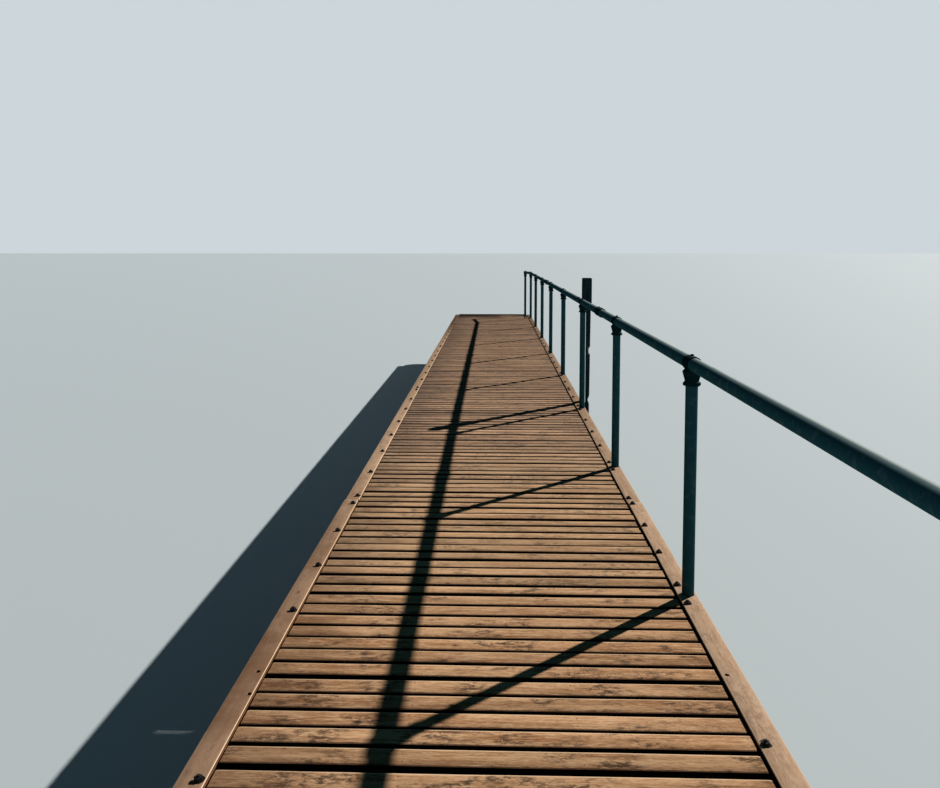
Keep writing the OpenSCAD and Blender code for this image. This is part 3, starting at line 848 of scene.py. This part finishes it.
deck_nodes = sorted(name for name in nodes if name.startswith("deck_"))
for number, node in enumerate(deck_nodes):
    low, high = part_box(node)
    run = high.y - low.y
    count = round((run + BOARD_GAP) / (BOARD_W + BOARD_GAP))
    pitch = (run - BOARD_W) / (count - 1)
    boards = grow(node.replace("deck", "boards"), TIMBER_TREE, {
        "Length": high.x - low.x + BOARD_EXTRA, "Width": BOARD_W, "Thickness": high.z - low.z,
        "Arris": 0.0055, "Rows": 12, "Count": count,
        "Start": (BOARD_SHIFT, low.y + BOARD_W / 2, (low.z + high.z) / 2),
        "Step": (0.0, pitch, 0.0), "Spread": (0.001, 0.0065, 0.0018),
        "Shrink": (0.002, SHRUNK_SEA if number else SHRUNK_SHORE, 0.02),
        "Skew": 0.0014, "Warp": (0.0, 0.005, 0.0035),
        "Nail reach": (NAIL_NEAR, NAIL_FAR, NAIL_HALF_PAIR), "Seed": 11 + number,
        "Cut": node == "deck_end", "Cutters": end_post_cutter, "Timber": DECK, "Iron": NAIL,
    })
    settle(boards, "deck_board", node)
    faces = len(boards.data.polygons)
    print(node, "boards:", count, "pitch:", round(pitch * 1000, 1), "mm, faces:", faces)
bpy.data.objects.remove(end_post_cutter)

# %% [markdown]
# The kerbs lie beside the board ends, in five timbers a side that meet with open joints. Their
# bolts stand in shallow sinkings near the inner edge. On the right there is a pair beside
# each handrail post, one on each side of a joint and evenly spaced ones between. On the left
# the first timber has a spacing of its own and the others are even. Some small holes near the
# shore never got a bolt. The right kerb is also bored for the posts. One cutter object holds
# all the holes of a timber, and the same places later get the washers, nuts and bolts.

# %% Places of the kerb bolts
KERB_SHORTEST = 1.5
KERB_JOINT = 0.003
PAIR_HALF = 0.095
BEFORE_JOINT = 0.035
AFTER_JOINT = 0.07
RIGHT_SPACING = 0.45
LEFT_SPACING = 0.54
SPACING_STRAY = 0.02
RIGHT_INSET = 0.0205
LEFT_INSET = 0.0215
INSET_STRAY = 0.0015
RIGHT_FIRST = (0.875, 1.325)
LEFT_FIRST = (0.30, 0.70, 1.11, 2.19, 2.67, 3.15, 3.62)
RIGHT_SMALL = ((0.0205, 1.725),)
LEFT_SMALL = ((0.010, 1.555), (0.0225, 1.70))
rng = random.Random(5)


def evenly(start, stop, spacing):
    """Places between two ends, about a spacing apart, each a little off."""
    gaps = max(1, round((stop - start) / spacing))
    return [start + (stop - start) * i / gaps + rng.uniform(-SPACING_STRAY, SPACING_STRAY)
            for i in range(1, gaps)]


kerb_low, kerb_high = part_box("kerb_right")
kerb_ends = [kerb_low.y, kerb_low.y + KERB_FIRST]
while kerb_ends[-1] + KERB_LENGTH < kerb_high.y - KERB_SHORTEST:
    kerb_ends.append(kerb_ends[-1] + KERB_LENGTH)
kerb_ends.append(kerb_high.y)
joints = kerb_ends[1:-1]

fixed = [post.y + side * PAIR_HALF for post in posts[:-1] for side in (-1, 1)]
fixed += [joint + step for joint in joints for step in (-BEFORE_JOINT, AFTER_JOINT)]
fixed = sorted(fixed) + [kerb_high.y - 2 * BEFORE_JOINT]
right_places = fixed + [kerb_low.y + run for run in RIGHT_FIRST]
for start, stop in zip(fixed[2:], fixed[3:]):
    right_places += evenly(start, stop, RIGHT_SPACING)
left_places = [kerb_low.y + run for run in LEFT_FIRST]
for start, stop in zip(joints, kerb_ends[2:]):
    first, last = start + AFTER_JOINT, stop - 2 * BEFORE_JOINT
    left_places += [first] + evenly(first, last, LEFT_SPACING) + [last]
print("kerb timbers a side:", len(kerb_ends) - 1, "bolts:", len(left_places), len(right_places))

# %% Kerbs
SINKING_RADIUS = 0.0195
SINKING_DEPTH = 0.0025
SMALL_RADIUS = 0.0085
SMALL_DEPTH = 0.012
KERB_UNDERCUT = 0.02
JOGS = {-1: (-0.0035, 0.001, 0.0, 0.001, 0.0), 1: (0.0015, -0.002, 0.0005, -0.001, 0.0)}
END_BEND_ROOM = 0.001
END_NAIL_HALF_PAIR = 0.024

bolt_spots = []
for side, node, inset, places, small in (
        (-1, "kerb_left", LEFT_INSET, left_places, LEFT_SMALL),
        (1, "kerb_right", RIGHT_INSET, right_places, RIGHT_SMALL)):
    low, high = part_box(node)
    above = high.z + OVERCUT
    faces = []
    for part, (start, stop) in enumerate(zip(kerb_ends, kerb_ends[1:])):
        jog = JOGS[side][part]
        inner = (low.x if side > 0 else high.x) + jog
        spots = [(inner + side * (inset + rng.uniform(-INSET_STRAY, INSET_STRAY)), y)
                 for y in places if start < y < stop]
        bolt_spots += [(x, y, high.z - SINKING_DEPTH) for x, y in spots]
        holes = [(x, y, high.z - SINKING_DEPTH, above, SINKING_RADIUS) for x, y in spots]
        if part == 0:
            holes += [(inner + side * reach, low.y + run, high.z - SMALL_DEPTH, above, SMALL_RADIUS)
                      for reach, run in small]
        if side > 0:
            holes += [(post.x, post.y, low.z - KERB_UNDERCUT, above, POST_BORE)
                      for post in posts[:-1] if start < post.y < stop]
        cutter = drill(f"{node} holes {part + 1}", holes)
        start += KERB_JOINT / 2 if part else 0
        stop -= KERB_JOINT / 2 if part < len(joints) else 0
        timber = grow(f"{node}_timber_{part + 1}", TIMBER_TREE, {
            "Length": stop - start, "Width": high.x - low.x, "Thickness": high.z - low.z,
            "Arris": 0.0030, "Rows": 18, "Count": 1,
            "Start": ((low.x + high.x) / 2 + jog, (start + stop) / 2, (low.z + high.z) / 2),
            "Turn": math.pi / 2, "Warp": (0.003, 0.0, 0.0025), "Seed": 40 + 5 * side + part,
            "Cut": True, "Cutters": cutter, "Timber": KERB, "Iron": IRON,
        })
        settle(timber, "kerb_timber", *([node] if part == 0 else []))
        bpy.data.objects.remove(cutter)
        faces.append(len(timber.data.polygons))
    print(node, "faces:", faces)

low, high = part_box("kerb_end")
end_kerb = grow("kerb_end_timber", TIMBER_TREE, {
    "Length": high.x - low.x, "Width": high.y - low.y,
    "Thickness": high.z - low.z - END_BEND_ROOM,
    "Arris": 0.0045, "Rows": 12, "Count": 1, "Start": tuple((low + high) / 2),
    "Warp": (0.0, 0.0, 0.002), "Nail reach": (NAIL_NEAR, NAIL_FAR, END_NAIL_HALF_PAIR),
    "Seed": 61, "Timber": END_KERB, "Iron": NAIL,
})
settle(end_kerb, "kerb_timber", "kerb_end")
print("kerb_end faces:", len(end_kerb.data.polygons))

# %% [markdown]
# Under the deck, four lines of stringers lie on the crossheads. They are the same sawn timber,
# laid across instead of along, so only the sizes and the direction change. The outer right
# line is notched where the handrail posts pass, and the crossheads keep the bevels under
# their ends.

# %% Stringers and crossheads
STRINGER_T = 0.075
CROSSHEAD_T = 0.075
CROSSHEAD_BEVEL = 0.05
NOTCH_LOW = 0.85
NOTCH_HIGH = 1.062
post_cutter = drill("post notches", [
    (post.x, post.y, NOTCH_LOW, NOTCH_HIGH, POST_BORE) for post in posts])
for number, part in enumerate(("shore", "middle", "far")):
    node = "stringers_" + part
    low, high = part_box(node)
    stringers = grow(node + "_timber", TIMBER_TREE, {
        "Length": high.y - low.y, "Width": STRINGER_T, "Thickness": high.z - low.z,
        "Arris": 0.004, "Rows": 22, "Count": 4,
        "Start": (low.x + STRINGER_T / 2, (low.y + high.y) / 2, (low.z + high.z) / 2),
        "Step": ((high.x - low.x - STRINGER_T) / 3, 0.0, 0.0), "Turn": math.pi / 2,
        "Warp": (0.004, 0.0, 0.0), "Seed": 70 + number,
        "Cut": True, "Cutters": post_cutter, "Timber": STRINGER, "Iron": IRON,
    })
    settle(stringers, "frame_timber", node)
    print(node, "faces:", len(stringers.data.polygons))
bpy.data.objects.remove(post_cutter)

for number in range(support_count):
    node = f"crosshead_{number + 1:02d}"
    low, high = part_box(node)
    pair = grow(node + "_timber", TIMBER_TREE, {
        "Length": high.x - low.x, "Width": CROSSHEAD_T, "Thickness": high.z - low.z,
        "Arris": 0.004, "End bevel": CROSSHEAD_BEVEL, "Rows": 14, "Count": 2,
        "Start": (0.0, low.y + CROSSHEAD_T / 2, (low.z + high.z) / 2),
        "Step": (0.0, high.y - low.y - CROSSHEAD_T, 0.0), "Shrink": (0.002, 0.0, 0.0),
        "Warp": (0.0, 0.003, 0.0), "Seed": 80 + number, "Timber": FRAME, "Iron": IRON,
    })
    settle(pair, "frame_timber", node)
print("crossheads:", support_count, "faces each:", len(pair.data.polygons))

# %% [markdown]
# A pile is a tree trunk, so its section is never quite round and long drying cracks run down
# it. Each pile is a stack of rings. Above the shoulder the section is cut flat on two sides,
# where the crosshead timbers clasp it, and at the head it has a small bevel. A rule gives the
# radius in every direction: the trunk's own radius, less the cracks, and never beyond the
# flats.

# %% Piles
PILE_SIDES = 40
TRUNK_STEPS = 9
TRUNK_MEAN = 0.982
TRUNK_LUMP = 0.018
CRACKS = 5
CRACK_DEPTHS = (0.002, 0.005)
CRACK_STARTS = (-0.2, 0.3)
CRACK_STOPS = (0.5, 1.1)
CRACK_WANDER = 0.25
HEAD_BEVEL = 0.012
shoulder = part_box("crosshead_01")[0].z
pile_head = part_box("piles_right")[1].z
clasp_half = (supports[0].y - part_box("crosshead_01")[0].y) - CROSSHEAD_T
pile_radius = (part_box("piles_right")[1].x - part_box("piles_right")[0].x) / 2
pile_x = middle("piles_right").x


def skin(shape, rings):
    """Joins rings of points into a closed body."""
    around = len(rings[0])
    for lower, upper in zip(rings, rings[1:]):
        for step in range(around):
            after = (step + 1) % around
            shape.faces.new((lower[step], lower[after], upper[after], upper[step]))
    shape.faces.new(list(reversed(rings[0])))
    shape.faces.new(rings[-1])


def trunk_radius(angle, height, cracks, seed):
    """Distance from a trunk's middle to its surface in one direction."""
    lump = noise.noise(Vector((math.cos(angle) * 1.4, math.sin(angle) * 1.4, height * 0.9 + seed)))
    radius = pile_radius * (TRUNK_MEAN + TRUNK_LUMP * lump)
    for crack, depth, low, high in cracks:
        wander = CRACK_WANDER * noise.noise(Vector((crack, height * 1.3, seed)))
        turn = (angle - crack - wander + math.pi) % math.tau
        if low < height < high and abs(turn - math.pi) < math.pi / PILE_SIDES:
            radius -= depth
    return radius


def add_pile(shape, x, y, seed):
    """One pile as a stack of rings with closed ends."""
    draw = random.Random(seed)
    cracks = [(draw.uniform(0, math.tau), draw.uniform(*CRACK_DEPTHS),
               draw.uniform(*CRACK_STARTS), draw.uniform(*CRACK_STOPS)) for _ in range(CRACKS)]
    levels = [(shoulder * i / TRUNK_STEPS, False, 0) for i in range(TRUNK_STEPS + 1)]
    levels += [(shoulder, True, 0), ((shoulder + pile_head) / 2, True, 0),
               (pile_head - HEAD_BEVEL, True, 0), (pile_head, True, HEAD_BEVEL)]
    rings = []
    for height, clasped, bevel in levels:
        ring = []
        for step in range(PILE_SIDES):
            angle = math.tau * step / PILE_SIDES
            radius = trunk_radius(angle, height, cracks, seed) - bevel
            if clasped:
                radius = min(radius, clasp_half / max(abs(math.sin(angle)), 1e-6))
            place = (x + radius * math.cos(angle), y + radius * math.sin(angle), height)
            ring.append(shape.verts.new(place))
        rings.append(ring)
    skin(shape, rings)


for side, node in ((-1, "piles_left"), (1, "piles_right")):
    shape = bmesh.new()
    for number, support in enumerate(supports):
        add_pile(shape, side * pile_x, support.y, 100 * side + 7 * number)
    bmesh.ops.remove_doubles(shape, verts=shape.verts, dist=0.0001)
    bmesh.ops.recalc_face_normals(shape, faces=shape.faces)
    piles = from_bmesh(node.replace("piles", "trunks"), shape, PILE)
    settle(piles, "pile_timber", node)
    print(node, "faces:", len(piles.data.polygons))

# %% [markdown]
# The mooring post is older than the rest. Below its head it is cut back to a slim neck, ropes
# have worn a groove in its outer side, and the neck has rotted thin where it stands on its
# foot, a hand's width above the kerb. It is made as a stack of square rings whose four sides
# follow those rules by height, with a noise that roughens every face along the grain.

# %% Mooring post
SIDE_POINTS = 7
HEIGHT_STEPS = 150
HEAD_LENGTH = 0.30
TOP_BEVEL = 0.006
FOOT_W = 0.077
FOOT_DROP = 0.03
LEDGE_HALF = 0.0005
WAIST_W = 0.033
NECK_INSET = 0.009
GROOVE_HALF = 0.040
GROOVE_DEPTH = 0.014
GROOVE_FLAT = 1.8
ROT_RISE = 0.025
ROT_HALF = 0.05
ROT_OUTER = 0.015
ROT_NEAR = 0.004
ROT_FAR = 0.010
FISSURE_DEPTH = 0.0028
LUMP_DEPTH = 0.0022
CORNER_WEAR = 0.0030
post_low, post_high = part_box("mooring_post")
neck_z = post_high.z - HEAD_LENGTH
foot_z = kerb_top - FOOT_DROP


def bump_shape(value, centre, half):
    """1 at the centre, 0 beyond the half width, with a smooth flank."""
    share = max(0.0, 1 - abs(value - centre) / half)
    return share * share * (3 - 2 * share)


def mooring_sides(height):
    """Lowest and highest x and y of the post at a height."""
    if height > neck_z:
        return post_low.x, post_high.x, post_low.y, post_high.y
    rise = max(0.0, (height - foot_z) / (neck_z - foot_z))
    outer = post_low.x + FOOT_W + rise * (post_high.x - NECK_INSET - post_low.x - FOOT_W)
    inner = post_low.x if height < foot_z else post_low.x + FOOT_W - WAIST_W
    groove = min(1.0, GROOVE_FLAT * bump_shape(height, deck_top + GROOVE_RISE, GROOVE_HALF))
    rot = bump_shape(height, deck_top + ROT_RISE, ROT_HALF)
    outer -= GROOVE_DEPTH * groove + ROT_OUTER * rot
    return inner, outer, post_low.y + ROT_NEAR * rot, post_high.y - ROT_FAR * rot


def hollowing(point, height, across, along):
    """A noise from 0 up, with one fineness across the grain and another along it."""
    return max(0.0, noise.noise(Vector((point.x * across, point.y * across, height * along))))


shape = bmesh.new()
tall = post_high.z - post_low.z
heights = [post_low.z + tall * i / HEIGHT_STEPS for i in range(HEIGHT_STEPS + 1)]
heights += [ledge + step for ledge in (foot_z, neck_z) for step in (-LEDGE_HALF, LEDGE_HALF)]
heights = sorted(heights + [post_high.z - TOP_BEVEL])
rings = []
for height in heights:
    inner, outer, low_y, high_y = mooring_sides(height)
    trim = TOP_BEVEL if height > post_high.z - TOP_BEVEL / 2 else 0.0
    corners = [Vector((inner + trim, low_y + trim, 0)), Vector((outer - trim, low_y + trim, 0)),
               Vector((outer - trim, high_y - trim, 0)), Vector((inner + trim, high_y - trim, 0))]
    heart = Vector(((inner + outer) / 2, (low_y + high_y) / 2, 0))
    ring = []
    for corner in range(4):
        for step in range(SIDE_POINTS):
            point = corners[corner].lerp(corners[(corner + 1) % 4], step / SIDE_POINTS)
            depth = FISSURE_DEPTH * hollowing(point, height, 70, 2.2)
            depth += LUMP_DEPTH * hollowing(point, height, 14, 7)
            depth += CORNER_WEAR if step == 0 else 0
            point += (heart - point).normalized() * depth
            ring.append(shape.verts.new((point.x, point.y, height)))
    rings.append(ring)
skin(shape, rings)
bmesh.ops.recalc_face_normals(shape, faces=shape.faces)
mooring = from_bmesh("mooring_timber", shape, MOORING)
settle(mooring, "mooring_timber", "mooring_post")
print("mooring post faces:", len(mooring.data.polygons))

# %% [markdown]
# The small cleat near the far end is cast in one piece: a plate with rounded corners, two legs,
# and a bar that thins and lifts towards its tips. Each part is a stack of rings, round for the
# legs and the bar, and four screw heads hold the plate.

# %% Cleat
PLATE_HALF = (0.030, 0.022)
PLATE_HEIGHT = 0.007
PLATE_EDGE = ((0.0, 0.0), (0.0045, 0.0), (PLATE_HEIGHT, 0.003))
PLATE_CORNER = 0.45
LEG_REACH = 0.019
BAR_RADIUS = 0.011
BAR_STEPS = 8
TIP_LIFT = 0.007
SCREW_REACH = (0.024, 0.016)
SCREW = ((-0.002, 0.0042), (0.0004, 0.0042), (0.0016, 0.0026))
cleat_low, cleat_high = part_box("mooring_cleat")
cleat_mid = (cleat_low + cleat_high) / 2
cleat_half = (cleat_high.x - cleat_low.x) / 2
base_z = cleat_low.z
bar_z = cleat_high.z - BAR_RADIUS - 0.003
LEG = ((0.005, 0.0125), (0.012, 0.0095), (0.030, 0.0085), (bar_z - base_z, 0.0100))


def ring_stack(shape, stations, along, sides=14):
    """Rings of (centre, half width, half height, corner) joined into a closed body."""
    across = {"x": (1, 2), "z": (0, 1)}[along]
    rings = []
    for centre, half_a, half_b, power in stations:
        ring = []
        for step in range(sides):
            angle = math.tau * (step + 0.5) / sides
            c, s = math.cos(angle), math.sin(angle)
            point = Vector(centre)
            point[across[0]] += half_a * math.copysign(abs(c) ** power, c)
            point[across[1]] += half_b * math.copysign(abs(s) ** power, s)
            ring.append(shape.verts.new(point))
        rings.append(ring)
    skin(shape, rings)


shape = bmesh.new()
ring_stack(shape, [
    ((cleat_mid.x, cleat_mid.y, base_z + z), PLATE_HALF[0] - trim, PLATE_HALF[1] - trim, PLATE_CORNER)
    for z, trim in PLATE_EDGE], "z", 24)
for side in (-1, 1):
    leg_x = cleat_mid.x + side * LEG_REACH
    ring_stack(shape, [((leg_x, cleat_mid.y, base_z + z), radius, radius * 0.9, 1.0)
                       for z, radius in LEG], "z")
bar = []
for step in range(2 * BAR_STEPS + 1):
    share = step / BAR_STEPS - 1
    thin = BAR_RADIUS * (1 - 0.5 * abs(share) ** 1.5) * (0.45 if abs(share) > 0.99 else 1.0)
    lift = TIP_LIFT * abs(share) ** 2.5
    bar.append(((cleat_mid.x + share * cleat_half, cleat_mid.y, bar_z + lift), thin, thin * 0.85, 1.0))
ring_stack(shape, bar, "x")
for x_side in (-1, 1):
    for y_side in (-1, 1):
        spot = (cleat_mid.x + x_side * SCREW_REACH[0], cleat_mid.y + y_side * SCREW_REACH[1])
        ring_stack(shape, [((*spot, base_z + PLATE_HEIGHT + z), radius, radius, 1.0)
                           for z, radius in SCREW], "z", 10)
bmesh.ops.recalc_face_normals(shape, faces=shape.faces)
cleat = from_bmesh("cleat_casting", shape, IRON)
settle(cleat, "cleat_iron", "mooring_cleat")
print("cleat faces:", len(cleat.data.polygons))

# %% [markdown]
# Bolts hold the frame together: a washer, a hexagon nut and the end of the bolt on one face,
# and a low round head on the other. A second tree sets one bolt on every point of a small
# mesh, and turns it along a direction that the point carries. The same tree makes the bolts
# that stand in the sinkings of the kerbs.

# %% Bolt tree
BOLT_INPUTS = {
    "Points": "Geometry", "Washer radius": "Float", "Washer height": "Float",
    "Nut radius": "Float", "Nut height": "Float", "Nut sides": "Int", "Bolt radius": "Float",
    "Bolt height": "Float", "Seed": "Int", "Iron": "Material",
}
WASHER_SIDES = 20
BOLT_SIDES = 12


def stacked(tree, radius, taper, low, height, sides):
    """A closed round or many-sided disc that stands at a height and is narrower at its top."""
    cone = add(tree, "GeometryNodeMeshCone", {
        "Vertices": sides, "Radius Bottom": radius, "Radius Top": times(tree, radius, taper),
        "Depth": height}, fill_type="NGON")
    moved = add(tree, "GeometryNodeTransform", {
        "Geometry": cone.outputs["Mesh"], "Translation": joined(tree, z=low)})
    return moved.outputs[0]


def make_bolt_tree():
    """The tree that sets a bolt on every point."""
    tree, get = new_group("bolts", BOLT_INPUTS)
    join = add(tree, "GeometryNodeJoinGeometry")
    washer_top = get["Washer height"]
    nut_top = calc(tree, "ADD", washer_top, get["Nut height"])
    for name, taper, low, sides in (
            ("Washer", 0.94, 0.0, WASHER_SIDES),
            ("Nut", 0.93, washer_top, get["Nut sides"]),
            ("Bolt", 0.8, nut_top, BOLT_SIDES)):
        part = stacked(tree, get[name + " radius"], taper, low, get[name + " height"], sides)
        tree.links.new(part, join.inputs[0])
    spin = joined(tree, z=random_number(tree, 0.0, 6.28, get["Seed"]))
    aimed = add(tree, "FunctionNodeAlignRotationToVector", {
        "Vector": recalled(tree, "axis", "FLOAT_VECTOR")}, axis="Z").outputs[0]
    turned = add(tree, "FunctionNodeRotateRotation", {
        0: aimed, 1: add(tree, "FunctionNodeEulerToRotation", {0: spin}).outputs[0]},
        rotation_space="LOCAL")
    points = add(tree, "GeometryNodeMeshToPoints", {"Mesh": get["Points"]})
    bolts = add(tree, "GeometryNodeInstanceOnPoints", {
        "Points": points.outputs[0], "Instance": join.outputs[0], "Rotation": turned.outputs[0]})
    done = finished(tree, made_real(tree, bolts.outputs[0]), get["Iron"])
    add(tree, "NodeGroupOutput", {0: done})
    return tree


BOLT_TREE = make_bolt_tree()
print("bolt tree nodes:", len(BOLT_TREE.nodes))


def bolt_points(name, places):
    """A mesh of loose points, each with the direction that its bolt points in."""
    mesh = bpy.data.meshes.new(name)
    mesh.from_pydata([place for place, axis in places], [], [])
    directions = mesh.attributes.new("axis", "FLOAT_VECTOR", "POINT")
    directions.data.foreach_set("vector", [value for place, axis in places for value in axis])
    return mesh


def set_bolts(name, places, sizes, seed):
    """A piece that holds one bolt for each (place, direction)."""
    values = {**sizes, "Seed": seed, "Iron": IRON}
    piece = grow(name, BOLT_TREE, values, bolt_points(name, places))
    settle(piece, "cleat_iron")
    print(name, "bolts:", len(places), "faces:", len(piece.data.polygons))


# %% Bolts and screws
KERB_BOLT = {
    "Washer radius": 0.0165, "Washer height": 0.0025, "Nut radius": 0.0140,
    "Nut height": 0.010, "Nut sides": 6, "Bolt radius": 0.0065, "Bolt height": 0.006}
NUT_END = {
    "Washer radius": 0.027, "Washer height": 0.004, "Nut radius": 0.0155,
    "Nut height": 0.013, "Nut sides": 6, "Bolt radius": 0.009, "Bolt height": 0.012}
HEAD_END = {
    "Washer radius": 0.021, "Washer height": 0.003, "Nut radius": 0.0155,
    "Nut height": 0.004, "Nut sides": 16, "Bolt radius": 0.010, "Bolt height": 0.0015}
PILE_BOLT_RISES = (0.035, -0.04)
UP = (0.0, 0.0, 1.0)
SHOREWARD = (0.0, -1.0, 0.0)
SEAWARD = (0.0, 1.0, 0.0)
set_bolts("kerb_bolts", [(spot, UP) for spot in bolt_spots], KERB_BOLT, 3)

crosshead_mid = middle("crosshead_01").z
near_places = []
far_places = []
for support, post in zip(supports, posts):
    near_y = support.y - clasp_half - CROSSHEAD_T
    far_y = support.y + clasp_half + CROSSHEAD_T
    spots = [(x, crosshead_mid + rise) for x in (-pile_x, pile_x) for rise in PILE_BOLT_RISES]
    for x, z in spots + [(post.x, crosshead_mid)]:
        near_places.append(((x, near_y, z), SHOREWARD))
        far_places.append(((x, far_y, z), SEAWARD))
set_bolts("crosshead_nuts", near_places, NUT_END, 4)
set_bolts("crosshead_heads", far_places, HEAD_END, 5)

# %% [markdown]
# The handrail itself is standard tube in cast fittings, and its solids already have the right
# shape. They keep their mesh and only take the paint. The packers that hold the post feet take
# the finish of the frame in the same way.

# %% Paint the handrail
PAINTED = {"rail_post": TUBE, "rail_shore": TUBE, "rail_middle": TUBE, "rail_far": TUBE,
           "rail_end": TUBE, "rail_fittings": CAST, "post_packers": FRAME}
for name, solid in nodes.items():
    for start, material in PAINTED.items():
        if name.startswith(start):
            solid.data.materials.clear()
            solid.data.materials.append(material)
print("painted solids:", sum(name.startswith(tuple(PAINTED)) for name in nodes))

# %% [markdown]
# The stage is a wide pale floor at the feet of the piles and an even pale background. One lamp
# stands high on the right and beyond the far end, where the shadows on the deck point back to,
# and is wide enough to soften them. The world fills the rest evenly.

# %% Stage and lights
FLOOR_HALF = 1500
FLOOR_TONE = colour(186, 196, 200)
KEY_AZIMUTH = math.radians(48)
KEY_ELEVATION = math.radians(32.6)
KEY_WIDTH = math.radians(0.7)
KEY_ENERGY = 5.1
KEY_TONE = (1.0, 0.965, 0.92)
FILL_TONE = (0.2, 0.68, 1.0, 1.0)
FILL_STRENGTH = 0.045
BACKDROP_TONE = colour(204, 214, 219)

floor_mesh = bpy.data.meshes.new("floor")
floor_mesh.from_pydata(
    [(-FLOOR_HALF, -FLOOR_HALF, 0), (FLOOR_HALF, -FLOOR_HALF, 0),
     (FLOOR_HALF, FLOOR_HALF, 0), (-FLOOR_HALF, FLOOR_HALF, 0)], [], [(0, 1, 2, 3)])
floor = new_object("floor", floor_mesh)
floor_material, tree, shader = new_material("pale floor")
shader.inputs["Base Color"].default_value = FLOOR_TONE
shader.inputs["Roughness"].default_value = 0.9
floor_mesh.materials.append(floor_material)
floor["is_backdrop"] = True

key_data = bpy.data.lights.new("key", "SUN")
key_data.energy = KEY_ENERGY
key_data.angle = KEY_WIDTH
key_data.color = KEY_TONE
key = new_object("key", key_data)
towards = Vector((
    math.sin(KEY_AZIMUTH) * math.cos(KEY_ELEVATION),
    math.cos(KEY_AZIMUTH) * math.cos(KEY_ELEVATION),
    math.sin(KEY_ELEVATION)))
key.rotation_euler = towards.to_track_quat("Z", "Y").to_euler()

world = bpy.data.worlds.new("studio")
bpy.context.scene.world = world
world.use_nodes = True
tree = world.node_tree
rays = add(tree, "ShaderNodeLightPath").outputs
seen = calc(tree, "MAXIMUM", rays["Is Glossy Ray"], rays["Is Transmission Ray"])
seen = calc(tree, "MAXIMUM", rays["Is Camera Ray"], seen)
fill = add(tree, "ShaderNodeBackground", {"Color": FILL_TONE, "Strength": FILL_STRENGTH})
shown = add(tree, "ShaderNodeBackground", {"Color": BACKDROP_TONE, "Strength": 1.0})
blend = add(tree, "ShaderNodeMixShader", {0: seen, 1: fill.outputs[0], 2: shown.outputs[0]})
feed(tree, tree.nodes["World Output"].inputs["Surface"], blend.outputs[0])
bpy.context.scene.view_settings.view_transform = "Standard"
print("sun's direction:", [round(v, 3) for v in towards])

# %% [markdown]
# Last, the size of the dressed jetty is measured.

# %% Measure the dressed jetty
low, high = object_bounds()
